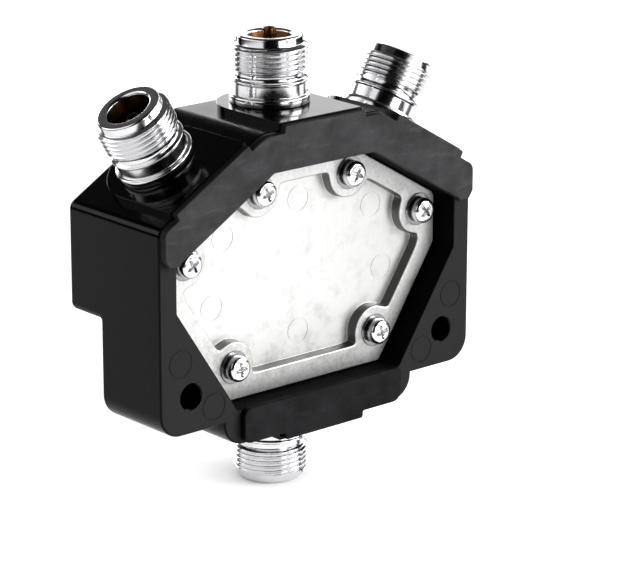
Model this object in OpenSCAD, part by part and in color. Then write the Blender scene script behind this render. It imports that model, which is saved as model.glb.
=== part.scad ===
// Three-way coaxial antenna switch: one common port below, three selected ports on the upper facets.
// Millimetres. Z is up, the knob faces -Y and the wall side faces +Y. The origin is at the centre of the
// common port's mouth, so the switch stands on that port. Every port axis lies in the plane y = 0.

/* [Case outline] */
// Width across the straight sides
case_w = 83.6; // [80:0.2:90]
// Width of the flat top facet
crown_w = 31.32; // [29:0.02:34]
// Height of the straight sides, from the underside of the ears to the sloping facets
side_h = 43.2; // [42:0.1:46]
// Slope of the two upper facets
facet_angle = 30.5; // [29:0.5:32]
// Drop of the foot below the underside of the ears
foot_drop = 5.3; // [4.6:0.1:7]
// Width of the foot that carries the common port
foot_w = 51; // [48:0.5:56]
// Depth of the case from its wall side to its front
case_depth = 29.8; // [29:0.1:32]
// Depth of the two mounting ears
ear_depth = 19.2; // [17:0.1:20]
// Height at which the ears step out to the full depth
ear_step_h = 20.7; // [19:0.1:22]
// Thickness of the front wall
front_wall = 2.5; // [2:0.1:3]
// Radius of the ear and foot corners
corner_r = 5; // [3:0.1:5.2]
// Radius where a side meets a facet
shoulder_r = 2.5; // [1:0.1:4]
// Radius where a facet meets the top
crown_r = 6; // [2:0.1:9]
// Radius of the front edges
front_edge_r = 1.5; // [0.6:0.1:1.8]
// Fillet between the step and the front of the ears
step_fillet_r = 1.2; // [0.8:0.1:1.6]

/* [Wall side opening] */
// Width of the rim beside the opening
rim_side = 4.5; // [3.5:0.1:5.5]
// Width of the rim along the facets and the top
rim_top = 8.2; // [7.5:0.1:9]
// Height of the opening's lower edge above the underside of the ears
opening_low = 2.1; // [1.6:0.1:3]
// Wall between the foot's side and the opening's lower corner
foot_wall = 3.6; // [3:0.1:4]
// Length of the opening's upright sides
opening_side = 10.8; // [9:0.1:13]
// Gap between the opening's sides and the cover plate
plate_gap = 1.25; // [0.8:0.05:1.6]
// Gap between the opening's upper edges and the cover plate
upper_gap = 0.25; // [0.15:0.05:0.6]
// Gap between the opening's lower edge and the cover plate
lower_gap = 0.4; // [0.15:0.05:0.8]

/* [Ears] */
// Diameter of a mounting hole
mount_hole_d = 5.2; // [4:0.1:5.6]
// Distance of a mounting hole from the side of its ear
mount_in = 7.7; // [6.8:0.1:8.6]
// Height of the mounting holes above the underside of the ears
mount_h = 7.8; // [7:0.1:9]
// Diameter of the pocket for a screw head
head_pocket_d = 9.2; // [8:0.1:10]
// Thickness of the web that a screw head bears on
screw_web = 6; // [3:0.1:8]

/* [Ports] */
// Depth of the ports' axes behind the front face
axis_depth = 13.8; // [13.4:0.1:14.4]
// Length of a port outside its collar
port_len = 14.2; // [13.6:0.1:15]
// Outside diameter of the coupling thread
thread_d = 15.875; // [15.8:0.005:15.9]
// Length of the threaded part
thread_len = 5.7; // [5:0.1:6]
// Diameter of the lip before the thread
lip_d = 13.6; // [13:0.1:14]
// Length of the lip before the thread
lip_len = 1.9; // [1.5:0.1:2.2]
// Diameter of the plain barrel behind the thread
barrel_d = 15.3; // [15:0.1:15.8]
// Diameter of the seating flange
flange_d = 16.7; // [16.2:0.1:17.6]
// Thickness of the seating flange
flange_t = 1.9; // [1.5:0.1:2.4]
// Diameter of the open mouth
mouth_d = 9.1; // [8.8:0.05:9.4]
// Depth of the open mouth
mouth_depth = 9.6; // [8.5:0.1:10]
// Diameter of the shank inside the case
shank_d = 11.2; // [10.6:0.1:11.6]
// Diameter of the insulator
insulator_d = 8; // [7:0.1:8.4]
// Diameter of the contact socket in the mouth
socket_d = 2.8; // [2.4:0.1:3.2]
// Distance of a contact socket's tip below the mouth
tip_depth = 2.3; // [1:0.1:3]
// Height of the top port's socket above its mouth
top_tip_rise = 1.2; // [0.4:0.1:1.6]

/* [Collars] */
// Width of a collar outside the case
collar_w = 22; // [21:0.1:22.6]
// Thickness of a collar outside the case
collar_t = 1.5; // [1:0.1:2]
// Overlap of a collar on each side of its slot
collar_lap = 1.5; // [1:0.1:2]

/* [Pads] */
// Thickness of the wall pads
pad_t = 1.6; // [1:0.1:2.2]
// Distance of the pads from the edges of the case
pad_inset = 0.4; // [0.2:0.1:0.8]
// Length of the upper pad's two ends below the sloping facets
pad_end = 7.2; // [5:0.1:9]
// Width of the lower pad
low_pad_w = 42.9; // [40:0.1:44]

/* [Switch body] */
// Wall of the body between the ports' shanks and the cover plate
body_back = 1.2; // [1:0.1:1.6]
// Height of the cover plate's rim above its floor
cover_rim_h = 2.4; // [1.6:0.1:2.8]
// Thickness of the cover plate's floor
cover_floor = 2; // [1.6:0.1:2.2]
// Width of the cover plate's rim
cover_rim_w = 3.75; // [3.2:0.05:4.6]
// Width of that rim along the plate's lower edge
cover_foot_w = 4.4; // [3.6:0.1:5]
// Radius of the rounded seats of the cover screws
lobe_r = 4.8; // [4.2:0.1:5.2]
// Wall of the die-cast body
body_wall = 4; // [3.6:0.1:4.4]
// Front wall of the die-cast body
body_front = 3; // [2.6:0.1:3.2]
// Wall of the die-cast body over the ears
body_ledge = 1.8; // [1.4:0.1:2]
// Distance of the upper cover screws inwards from the opening's upper corners
top_screw_x = 1.4; // [0.8:0.1:3]
// Distance of the upper cover screws below the opening's upper edge
top_screw_z = 5.3; // [5:0.1:5.6]
// Distance of the middle cover screws from the opening's sides
mid_screw_x = 5.9; // [5.6:0.1:6.4]
// Distance of the middle cover screws below the opening's side corners
mid_screw_z = 2.5; // [1.6:0.1:3.6]
// Distance of the lower cover screws inwards from the opening's lower corners
low_screw_x = 2.7; // [2:0.1:4]
// Distance of the lower cover screws above the opening's lower edge
low_screw_z = 7.5; // [7:0.1:8]

/* [Rotor and knob] */
// Turn of the knob from the middle port to either side port
throw_angle = 60; // [57:0.5:62]
// Room between the rotor and the body's lower wall
finger_room = 4.15; // [4:0.05:4.6]
// Diameter of the shaft
shaft_d = 6; // [5:0.05:6.4]
// Diameter of the bushing's shank
bushing_d = 9; // [8.6:0.1:9.6]
// Length of the bushing in front of the case
bushing_out = 4; // [3.6:0.1:4.6]
// Across flats of the bushing nut
nut_af = 11; // [10.6:0.1:12]
// Diameter of the insulating rotor
rotor_d = 21; // [20:0.1:22]
// Width of the wiper blade
blade_w = 5; // [4:0.1:6]
// Thickness of the wiper blade and of the fixed contacts
blade_t = 0.8; // [0.6:0.05:1]
// Diameter of the knob's skirt
knob_d = 28; // [25:0.5:32]
// Height of the knob
knob_h = 17; // [14:0.5:20]
// Thickness of the knob's skirt
skirt_t = 6.4; // [6:0.1:7]
// Width of the knob's grip bar
grip_w = 9; // [8.4:0.1:11]

/* [Hidden] */
$fn = 64;
// Segments of a small rounding
arc_steps = 6;
// Overrun of a cut past its surface
over = 1;
// Clearance of parts that slide together
fit = 0.05;
// Clearance of parts that slide in wide guides
slide = 0.1;
// Clearance of the shaft in its bushing
running = 0.03;

// Heights and depths that follow from the sizes above
crown_x = crown_w / 2;
half_w = case_w / 2;
facet_len = (half_w - crown_x) / cos(facet_angle);
top_h = side_h + facet_len * sin(facet_angle);
opening_low_x = foot_w / 2 - foot_wall;
mount_x = half_w - mount_in;
pad_low_h = side_h - pad_end;
foot_h = foot_drop + collar_t + port_len;
front_y = -axis_depth;
rear_y = front_y + case_depth;
ear_y = rear_y - ear_depth;
front_in_y = front_y + front_wall;
ledge_y = ear_y + front_wall;
cover_y = shank_d / 2 + body_back;
floor_y = cover_y + cover_floor;
rim_y = floor_y + cover_rim_h;
cover_depth = rear_y - rim_y;
cavity_y = front_in_y + body_front;

// Small sizes of the case
ejector_r = 2.8;
ejector_deep = 0.15;
mark_out = 2.6;
mark_up = 7.4;
mark_in = 5.8;
mark_down = 3.3;
index_w = 1.2;
index_len = 4;
index_h = 0.4;
index_gap = 2.5;

// Sizes of the cover screws, for a 3 mm thread
screw_d = 3;
screw_head_d = 5.5;
screw_head_h = 1.9;
screw_len = 10;
screw_boss_r = 3.2;
washer_d = 5.8;
washer_t = 0.8;
cross_w = 0.9;
cross_len = 3;
cross_deep = 1.1;

// Sizes of the contacts
pin_d = 2.4;
socket_bore_d = 1.7;
socket_deep = 5;
socket_slot = 0.3;
sleeve_wall = 0.8;
sleeve_len = 2.4;
contact_end_r = 2.4;
contact_gap = 0.27;

// Sizes round the shaft
bushing_flange_d = 12;
bushing_flange_t = 1;
panel_washer_d = 16;
panel_washer_t = 0.6;
nut_t = 2.4;
detent_t = 0.8;
detent_ring_w = 4.4;
detent_hole_r = 1;
ball_r = 1.25;
spring_hole_deep = 4;
detent_gap = 0.2;
clip_t = 0.7;
clip_groove = 0.5;
clip_w = 2;
flat_deep = 0.5;
coil_wire_r = 0.15;
rotor_column_d = 12;
rotor_neck_d = 9;
ring_d = 18;
rotor_washer_d = 10;
rotor_washer_t = 0.5;
rotor_head_d = 5;
rotor_head_h = 1.6;
rotor_screw_d = 2.5;
rotor_screw_len = 9;
knob_gap = 0.5;
knob_cap = 2;
knob_round = 1.2;
set_screw_d = 3;
set_screw_len = 6;
pointer_w = 1.4;
pointer_len = 9;
pointer_t = 0.5;

// The knob's axis stands over the body's lower wall. The contacts lie on a circle round it that just clears
// the body's upper wall, and a side port's axis meets that circle at the end of the throw
pivot_h = opening_low + plate_gap + body_wall + finger_room + rotor_d / 2;
contact_r = top_h - rim_top - plate_gap - body_wall - contact_end_r - contact_gap - pivot_h;
axis_offset = contact_r * sin(throw_angle - facet_angle);
seat_s = half_w * sin(facet_angle) + (side_h - pivot_h) * cos(facet_angle);
seat_x = axis_offset * cos(facet_angle) + seat_s * sin(facet_angle);
seat_h = pivot_h - axis_offset * sin(facet_angle) + seat_s * cos(facet_angle);
side_contact_s = sqrt(pow(contact_r, 2) - pow(axis_offset, 2)) - seat_s;
top_contact_s = pivot_h + contact_r - top_h;
common_end_h = pivot_h - rotor_d / 2 - 3 * detent_gap;
common_contact_s = -foot_drop - common_end_h;

// Depths along the ports, from the face of the facet outwards
flange_s = collar_t;
mouth_s = collar_t + port_len;
upper_body_s = -rim_top - plate_gap;
low_body_s = -foot_drop - opening_low - plate_gap;
tab_y = pin_d / 2;
blade_y = tab_y + blade_t + fit;
hub_front_y = cavity_y + bushing_flange_t + slide;
disc_back_y = -tab_y - sleeve_wall + detent_gap * 2;
detent_r = (bushing_flange_d / 2 + slide * 3) + detent_ring_w / 2;

// Slant of the opening's lower sides
opening_side_x = half_w - rim_side;
opening_side_h = side_h + rim_side * tan(facet_angle) - rim_top / cos(facet_angle) - opening_side;
opening_low_angle = atan2(opening_side_h - opening_low, opening_side_x - opening_low_x);

// Outline of the opening, set in by d on every side
function opening_pts(d) = inset_pts(d, d, d);

// The same outline set in by d at the sides, by u along the upper edges and by b along the lower edge
function inset_pts(d, u, b) =
    let (xs = half_w - rim_side - d,
        zt = top_h - rim_top - u,
        zu = side_h + (half_w - xs) * tan(facet_angle) - (rim_top + u) / cos(facet_angle),
        xt = half_w - (zt - side_h + (rim_top + u) / cos(facet_angle)) / tan(facet_angle),
        zb = opening_low + b,
        xb = opening_low_x + b / tan(opening_low_angle) - d / sin(opening_low_angle),
        zl = opening_low + (xs - opening_low_x + d / sin(opening_low_angle)) * tan(opening_low_angle))
    [[xb, zb], [xs, zl], [xs, zu], [xt, zt], [-xt, zt], [-xs, zu], [-xs, zl], [-xb, zb]];

// Upper part of that outline, for the deep section above the ears' step
function deep_pts(d) =
    let (p = opening_pts(d), low = ear_step_h + front_wall + d)
    [[p[2][0], low], p[2], p[3], p[4], p[5], [-p[2][0], low]];

// Middle part between the ears, from height z up into the deep part
function low_pts(x, z) =
    let (top = ear_step_h + front_wall + plate_gap + body_wall + over)
    [[x, z], [x, top], [-x, top], [-x, z]];

// Unit vector from a to b
function unit(a, b) = (b - a) / norm(b - a);

// Points of one rounded corner at b, between its neighbours a and c
function corner_pts(a, b, c, r) =
    let (u = unit(b, a), v = unit(b, c), half = acos(u * v) / 2,
        centre = b + r / sin(half) * (u + v) / norm(u + v),
        p = b + u * r / tan(half) - centre, q = b + v * r / tan(half) - centre,
        from = atan2(p[1], p[0]), turn = atan2(q[1], q[0]) - from,
        sweep = turn > 180 ? turn - 360 : turn < -180 ? turn + 360 : turn)
    [for (i = [0:arc_steps]) let (a = from + sweep * i / arc_steps) centre + r * [cos(a), sin(a)]];

// Closed outline with every corner rounded by its own radius
function rounded(pts, radii) =
    [for (i = [0:len(pts) - 1]) each (radii[i] > 0
        ? corner_pts(pts[(i + len(pts) - 1) % len(pts)], pts[i], pts[(i + 1) % len(pts)], radii[i])
        : [pts[i]])];

// Corners of the case seen from the wall side, set in by d
function case_corners(d) =
    let (w = half_w - d, f = foot_w / 2 - d,
        t = d * tan(facet_angle / 2), k = d * tan((90 - facet_angle) / 2))
    [[f, -foot_drop + d], [f, d], [w, d], [w, side_h - k], [crown_x - t, top_h - d],
        [-crown_x + t, top_h - d], [-w, side_h - k], [-w, d], [-f, d], [-f, -foot_drop + d]];
case_radii = [corner_r, 0, corner_r, shoulder_r, crown_r, crown_r, shoulder_r, corner_r, 0, corner_r];

// Corners of the deep part above the ears
function upper_corners(d) =
    let (c = case_corners(d))
    [[half_w - d, ear_step_h + d], c[3], c[4], c[5], c[6], [-half_w + d, ear_step_h + d]];

// Extrudes an outline drawn in X and Z between two depths
module between(y0, y1) {
    translate([0, y1, 0])
        rotate([90, 0, 0])
            linear_extrude(y1 - y0)
                children();
}

// Lifts everything from the underside of the ears to the common port's mouth
module lifted() {
    translate([0, 0, foot_h])
        children();
}

// Moves to a port's seat on its facet: 0 left, 1 top, 2 right, 3 common
module at_port(k) {
    seats = [[seat_x, seat_h, facet_angle], [0, top_h, 0], [-seat_x, seat_h, -facet_angle],
        [0, -foot_drop, 180]];
    lifted()
        translate([seats[k][0], 0, seats[k][1]])
            rotate([0, seats[k][2], 0])
                children();
}

// Moves to the knob's axis, with the local Z pointing to the wall side
module on_pivot(y) {
    lifted()
        translate([0, y, pivot_h])
            rotate([-90, 0, 0])
                children();
}

// A disc on the knob's axis between two depths
module pivot_disc(y0, y1, d) {
    on_pivot(y0)
        cylinder(h = y1 - y0, d = d);
}

// Straight slot with a round end, open towards the wall side
module slot_shape(w) {
    union() {
        circle(d = w);
        translate([-w / 2, 0])
            square([w, rear_y]);
    }
}

// Case
module deep_hull(corners, radii) {
    hull() {
        between(front_y + front_edge_r, ledge_y)
            polygon(rounded(corners[0], radii));
        between(front_y + front_edge_r * (1 - sin(45)), ledge_y)
            polygon(rounded(corners[1], radii));
        between(front_y, ledge_y)
            polygon(rounded(corners[2], radii));
    }
}

module case_block() {
    insets = [0, front_edge_r * (1 - cos(45)), front_edge_r];
    upper_radii = [front_edge_r, shoulder_r, crown_r, crown_r, shoulder_r, front_edge_r];
    foot_radii = [corner_r, front_edge_r, front_edge_r, corner_r];
    between(ear_y, rear_y)
        polygon(rounded(case_corners(0), case_radii));
    deep_hull([for (d = insets) upper_corners(d)], upper_radii);
    deep_hull([for (d = insets) let (f = foot_w / 2 - d) [[f, -foot_drop + d], [f, pivot_h], [-f, pivot_h],
        [-f, -foot_drop + d]]], foot_radii);
}

// Fillet along the step, where the full depth changes to the ears' depth
module step_fillet() {
    difference() {
        translate([-half_w, ear_y - step_fillet_r, ear_step_h - step_fillet_r])
            cube([case_w, step_fillet_r + over, step_fillet_r + over]);
        translate([-half_w - over, ear_y - step_fillet_r, ear_step_h - step_fillet_r])
            rotate([0, 90, 0])
                cylinder(h = case_w + 2 * over, r = step_fillet_r);
    }
}

module case_cavity() {
    between(ledge_y, rear_y + over)
        polygon(opening_pts(0));
    between(front_in_y, rear_y)
        polygon(deep_pts(0));
    between(front_in_y, rear_y)
        polygon(low_pts(opening_low_x, opening_low));
}

module ear_holes() {
    for (side = [-1, 1])
        translate([side * mount_x, 0, mount_h])
            rotate([-90, 0, 0]) {
                translate([0, 0, ear_y])
                    cylinder(h = ear_depth + over, d = mount_hole_d);
                translate([0, 0, ear_y - over])
                    cylinder(h = ear_depth - screw_web + over, d = head_pocket_d);
            }
}

// Round witness marks of the mould's ejector pins beside the mounting holes
module ear_marks() {
    places = [[mount_x + mark_out, mount_h + mark_up],
        [mount_x - mark_in, mount_h - mark_down]];
    for (side = [-1, 1])
        for (place = places)
            translate([side * place[0], rear_y - ejector_deep, place[1]])
                rotate([-90, 0, 0])
                    cylinder(h = over, r = ejector_r);
}

module index_marks() {
    for (a = [-throw_angle, 0, throw_angle])
        lifted()
            translate([0, front_y - index_h, pivot_h])
                rotate([0, a, 0])
                    translate([-index_w / 2, 0, knob_d / 2 + index_gap])
                        cube([index_w, index_h + over, index_len]);
}

module outer_case() {
    color([0.05, 0.05, 0.05]) {
        difference() {
            lifted()
                difference() {
                    union() {
                        case_block();
                        step_fillet();
                    }
                    case_cavity();
                    ear_holes();
                    ear_marks();
                }
            for (k = [0:3])
                at_port(k)
                    translate([0, 0, k == 3 ? low_body_s : upper_body_s])
                        linear_extrude(rim_top + plate_gap + foot_drop + over)
                            slot_shape(collar_w - 2 * collar_lap);
            pivot_disc(front_y - over, front_in_y + over, bushing_d + 2 * slide);
        }
        index_marks();
    }
}

// Collars that close the slots round the ports
module collar(k) {
    inner = k == 3 ? low_body_s : upper_body_s;
    color([0.06, 0.06, 0.06])
        at_port(k)
            difference() {
                union() {
                    linear_extrude(collar_t)
                        slot_shape(collar_w);
                    translate([0, 0, inner])
                        linear_extrude(-inner + collar_t / 2)
                            slot_shape(collar_w - 2 * collar_lap - 2 * slide);
                }
                translate([0, 0, inner - over])
                    cylinder(h = collar_t - inner + 2 * over, d = shank_d + 2 * fit);
                translate([-collar_w / 2, cover_y, inner - over])
                    cube([collar_w, rear_y, plate_gap + over]);
            }
}

// Port shell, turned from bar: shank, flange, barrel, thread land and lip
module port_shell(k) {
    inner = (k == 3 ? low_body_s : upper_body_s) - body_wall;
    thread_top = mouth_s - lip_len;
    thread_low = thread_top - thread_len;
    relief = (thread_d + lip_d + lip_d) / 6;
    edge = (flange_d - barrel_d) / 4;
    color([0.8, 0.8, 0.82])
        at_port(k)
            rotate_extrude()
                polygon([
                    [insulator_d / 2 + fit, inner],
                    [shank_d / 2, inner],
                    [shank_d / 2, flange_s],
                    [flange_d / 2, flange_s],
                    [flange_d / 2, flange_s + flange_t - edge],
                    [flange_d / 2 - edge, flange_s + flange_t],
                    [barrel_d / 2, flange_s + flange_t],
                    [barrel_d / 2, thread_low - 3 * edge],
                    [relief, thread_low - 2 * edge],
                    [relief, thread_low],
                    [thread_d / 2, thread_low],
                    [thread_d / 2, thread_top],
                    [lip_d / 2, thread_top],
                    [lip_d / 2, mouth_s - edge],
                    [lip_d / 2 - edge, mouth_s],
                    [mouth_d / 2 + edge, mouth_s],
                    [mouth_d / 2, mouth_s - edge],
                    [mouth_d / 2, mouth_s - mouth_depth],
                    [insulator_d / 2 + fit, mouth_s - mouth_depth]
                ]);
}

module insulator(k) {
    inner = (k == 3 ? low_body_s : upper_body_s) - body_wall;
    color([0.93, 0.92, 0.88])
        at_port(k)
            translate([0, 0, inner])
                difference() {
                    cylinder(h = mouth_s - mouth_depth - inner, d = insulator_d);
                    translate([0, 0, -over])
                        cylinder(h = mouth_s - inner, d = pin_d + 2 * fit);
                }
}

// Contact pin: a slotted socket in the mouth and a thin tail into the body
module contact_pin(k) {
    tip = k == 1 ? mouth_s + top_tip_rise : mouth_s - tip_depth;
    tail = k == 3 ? common_contact_s : k == 1 ? top_contact_s : side_contact_s;
    shoulder = mouth_s - mouth_depth;
    color([0.83, 0.62, 0.25])
        at_port(k)
            difference() {
                union() {
                    translate([0, 0, tail])
                        cylinder(h = shoulder - tail + over, d = pin_d);
                    translate([0, 0, shoulder])
                        cylinder(h = tip - shoulder, d = socket_d);
                }
                translate([0, 0, tip - socket_deep])
                    cylinder(h = socket_deep + over, d = socket_bore_d);
                for (a = [0, 90])
                    rotate([0, 0, a])
                        translate([-socket_d, -socket_slot / 2, tip - socket_deep])
                            cube([2 * socket_d, socket_slot, socket_deep + over]);
            }
}

// Fixed contacts: a flat round tab on a sleeve that grips the pin's tail
module tail_sleeve(k, tail) {
    at_port(k)
        translate([0, 0, tail])
            cylinder(h = sleeve_len, d = pin_d + 2 * sleeve_wall);
}

module tail_bore(k, tail) {
    at_port(k)
        translate([0, 0, tail - sleeve_len])
            cylinder(h = 3 * sleeve_len, d = pin_d + 2 * running);
}

module tab_disc(a) {
    on_pivot(tab_y + 2 * running)
        rotate([0, 0, a - 90])
            translate([contact_r, 0, 0])
                cylinder(h = blade_t - 2 * running, r = contact_end_r);
}

module fixed_contacts() {
    tails = [side_contact_s, top_contact_s, side_contact_s];
    color([0.86, 0.84, 0.78])
        for (k = [0:2])
            difference() {
                union() {
                    tail_sleeve(k, tails[k]);
                    tab_disc([throw_angle, 0, -throw_angle][k]);
                }
                tail_bore(k, tails[k]);
            }
}

// Common finger: reaches from the common pin to the ring of the wiper blade
module common_finger() {
    top_end = pivot_h - rotor_column_d / 2 - 2 * detent_gap;
    low_end = common_end_h - sleeve_len;
    color([0.86, 0.84, 0.78])
        difference() {
            union() {
                tail_sleeve(3, common_contact_s);
                lifted()
                    translate([-contact_end_r, tab_y + 2 * running, low_end])
                        cube([2 * contact_end_r, blade_t - 2 * running, top_end - low_end]);
            }
            at_port(3)
                translate([0, 0, common_contact_s])
                    cylinder(h = 2 * sleeve_len, d = pin_d + 2 * running);
        }
}

// Cover screw places, in X and height
window = opening_pts(0);
screw_places = [[window[3][0] - top_screw_x, window[3][1] - top_screw_z],
    [window[2][0] - mid_screw_x, window[2][1] - mid_screw_z],
    [window[0][0] - low_screw_x, window[0][1] + low_screw_z]];

module at_screws(y) {
    lifted()
        for (side = [-1, 1])
            for (p = screw_places)
                translate([side * p[0], y, p[1]])
                    rotate([-90, 0, 0])
                        children();
}

// Die-cast body: a stepped tray with screw bosses and four port holes
module switch_body() {
    inner = plate_gap + body_wall;
    low_x = opening_low_x - plate_gap;
    color([0.72, 0.72, 0.7])
        difference() {
            union() {
                difference() {
                    lifted()
                        union() {
                            between(ledge_y + slide, cover_y)
                                polygon(opening_pts(plate_gap));
                            between(front_in_y, cover_y)
                                polygon(deep_pts(plate_gap));
                            between(front_in_y, cover_y)
                                polygon(low_pts(low_x, opening_low + plate_gap));
                        }
                    lifted()
                        union() {
                            between(ledge_y + slide + body_ledge, cover_y + over)
                                polygon(opening_pts(inner));
                            between(cavity_y, cover_y + over)
                                polygon(deep_pts(inner));
                            between(cavity_y, cover_y + over)
                                polygon(low_pts(low_x - body_wall, opening_low + inner));
                        }
                }
                intersection() {
                    at_screws(cavity_y - over)
                        cylinder(h = cover_y - cavity_y + over, r = screw_boss_r);
                    lifted()
                        between(ledge_y + slide, cover_y)
                            polygon(opening_pts(plate_gap));
                }
            }
            at_screws(cover_y - screw_len)
                cylinder(h = screw_len + over, d = screw_d + 2 * fit);
            for (k = [0:3])
                at_port(k)
                    translate([0, 0, (k == 3 ? low_body_s : upper_body_s) - body_wall - over])
                        cylinder(h = body_wall + 2 * over, d = shank_d + 2 * running);
            pivot_disc(front_in_y - over, cavity_y + over, bushing_d + 2 * fit);
        }
}

// Cover plate with its raised rim and the rounded screw seats
module body_cover() {
    color([0.8, 0.8, 0.79])
        difference() {
            union() {
                lifted()
                    between(cover_y, floor_y)
                        polygon(inset_pts(plate_gap, upper_gap, lower_gap));
                difference() {
                    lifted()
                        between(floor_y - slide, rim_y)
                            polygon(inset_pts(plate_gap, upper_gap, lower_gap));
                    lifted()
                        between(floor_y - 2 * slide, rim_y + over)
                            polygon(inset_pts(plate_gap + cover_rim_w, upper_gap + cover_rim_w,
                                lower_gap + cover_foot_w));
                }
                intersection() {
                    at_screws(floor_y - slide)
                        cylinder(h = cover_rim_h + slide, r = lobe_r);
                    lifted()
                        between(cover_y, rim_y)
                            polygon(inset_pts(plate_gap, upper_gap, lower_gap));
                }
            }
            at_screws(cover_y - over)
                cylinder(h = cover_floor + cover_rim_h + 2 * over, d = screw_d + 4 * slide);
        }
}

module cover_screws() {
    color([0.85, 0.85, 0.86])
        at_screws(rim_y + washer_t)
            difference() {
                union() {
                    translate([0, 0, -screw_len])
                        cylinder(h = screw_len + screw_head_h / 2, d = screw_d);
                    rotate_extrude()
                        polygon([[0, 0], [screw_head_d / 2, 0], [screw_head_d / 2, screw_head_h / 2],
                            [screw_head_d / 2 - screw_head_h / 8, screw_head_h * 3 / 4],
                            [screw_head_d / 2 - screw_head_h / 3, screw_head_h], [0, screw_head_h]]);
                }
                for (a = [45, 135])
                    rotate([0, 0, a])
                        translate([-cross_len / 2, -cross_w / 2, screw_head_h - cross_deep])
                            cube([cross_len, cross_w, cross_deep + over]);
            }
}

module cover_spring_washers() {
    color([0.8, 0.8, 0.8])
        at_screws(rim_y)
            difference() {
                cylinder(h = washer_t, d = washer_d);
                translate([0, 0, -over])
                    cylinder(h = washer_t + 2 * over, d = screw_d + 4 * slide);
                translate([0, -socket_slot / 2, -over])
                    cube([washer_d, socket_slot, washer_t + 2 * over]);
            }
}

// Wall pads
module pad_lips(y0, y1, k, w, out) {
    at_port(k)
        translate([-w / 2, y0, -rim_top])
            cube([w, y1 - y0, rim_top + out]);
}

module upper_wall_pad() {
    outline = case_corners(pad_inset);
    y1 = rear_y + pad_t;
    color([0.3, 0.3, 0.3])
        difference() {
            union() {
                lifted()
                    between(rear_y, y1)
                        polygon(rounded([for (i = [2:7]) [outline[i][0], max(outline[i][1], pad_low_h)]],
                            [shoulder_r, shoulder_r, crown_r, crown_r, shoulder_r, shoulder_r]));
                for (k = [0:2])
                    pad_lips(rear_y, y1, k, collar_w - 2 * pad_inset, collar_t - pad_inset);
            }
            lifted()
                between(rear_y - over, y1 + over)
                    polygon(opening_pts(0));
        }
}

module lower_wall_pad() {
    y1 = rear_y + pad_t;
    r = corner_r / 3;
    top = opening_low + pad_inset;
    color([0.24, 0.24, 0.24]) {
        lifted()
            between(rear_y, y1)
                polygon(rounded([[low_pad_w / 2, -foot_drop + pad_inset], [low_pad_w / 2, top],
                    [-low_pad_w / 2, top], [-low_pad_w / 2, -foot_drop + pad_inset]], [r, r, r, r]));
        pad_lips(rear_y, y1, 3, collar_w - 2 * pad_inset, collar_t - pad_inset);
    }
}

// Bushing, its washer and nut
module shaft_bushing() {
    color([0.78, 0.68, 0.42])
        difference() {
            union() {
                pivot_disc(front_y - bushing_out, cavity_y, bushing_d);
                pivot_disc(cavity_y, cavity_y + bushing_flange_t, bushing_flange_d);
            }
            pivot_disc(front_y - bushing_out - over, cavity_y + bushing_flange_t + over,
                shaft_d + 2 * running);
        }
}

module bushing_washer() {
    color([0.8, 0.8, 0.8])
        difference() {
            pivot_disc(front_y - panel_washer_t, front_y, panel_washer_d);
            pivot_disc(front_y - panel_washer_t - over, front_y + over, bushing_d + 2 * slide);
        }
}

module bushing_nut() {
    color([0.8, 0.8, 0.8])
        difference() {
            on_pivot(front_y - panel_washer_t - nut_t)
                cylinder(h = nut_t, d = nut_af / cos(30), $fn = 6);
            pivot_disc(front_y - panel_washer_t - nut_t - over, front_y + over, bushing_d + 2 * fit);
        }
}

// Detent plate with one hole for each position
module detent_plate() {
    inner_d = bushing_flange_d + 6 * slide;
    color([0.7, 0.7, 0.72])
        difference() {
            pivot_disc(cavity_y, cavity_y + detent_t, inner_d + 2 * detent_ring_w);
            pivot_disc(cavity_y - over, cavity_y + detent_t + over, inner_d);
            for (a = [-throw_angle, 0, throw_angle])
                on_pivot(cavity_y - over)
                    rotate([0, 0, a + 90])
                        translate([detent_r, 0, 0])
                            cylinder(h = detent_t + 2 * over, r = detent_hole_r);
        }
}

// Shaft, its clip and the insulating rotor
clip_y = front_y - bushing_out - slide - clip_t;
knob_front_y = front_y - knob_gap - knob_h;
shaft_end_y = knob_front_y + knob_cap + slide;
flat_end_y = clip_y - clip_t;

module shaft() {
    color([0.75, 0.75, 0.76])
        difference() {
            pivot_disc(shaft_end_y, blade_y, shaft_d);
            difference() {
                pivot_disc(clip_y - fit, clip_y + clip_t + fit, shaft_d + over);
                pivot_disc(clip_y - over, clip_y + clip_t + over, shaft_d - 2 * clip_groove);
            }
            lifted()
                translate([-shaft_d, shaft_end_y - over, pivot_h - shaft_d / 2 - over])
                    cube([2 * shaft_d, flat_end_y - shaft_end_y + over, flat_deep + over]);
            pivot_disc(blade_y - rotor_screw_len, blade_y + over, rotor_screw_d + 2 * fit);
        }
}

module shaft_clip() {
    inner_d = shaft_d - 2 * clip_groove + 2 * fit;
    color([0.6, 0.6, 0.62])
        difference() {
            pivot_disc(clip_y, clip_y + clip_t, inner_d + 2 * clip_w);
            pivot_disc(clip_y - over, clip_y + clip_t + over, inner_d);
            lifted()
                translate([-inner_d / 3, clip_y - over, pivot_h])
                    cube([2 * inner_d / 3, clip_t + 2 * over, inner_d + clip_w]);
        }
}

module rotor() {
    color([0.9, 0.88, 0.82])
        difference() {
            union() {
                pivot_disc(hub_front_y, disc_back_y, rotor_d);
                pivot_disc(disc_back_y - over, blade_y, rotor_column_d);
                pivot_disc(blade_y - over, blade_y + blade_t, rotor_neck_d);
            }
            pivot_disc(hub_front_y - over, blade_y + blade_t + over, shaft_d + 2 * running);
            ball_place(hub_front_y - over)
                cylinder(h = spring_hole_deep + over, r = ball_r + slide);
        }
}

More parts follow.
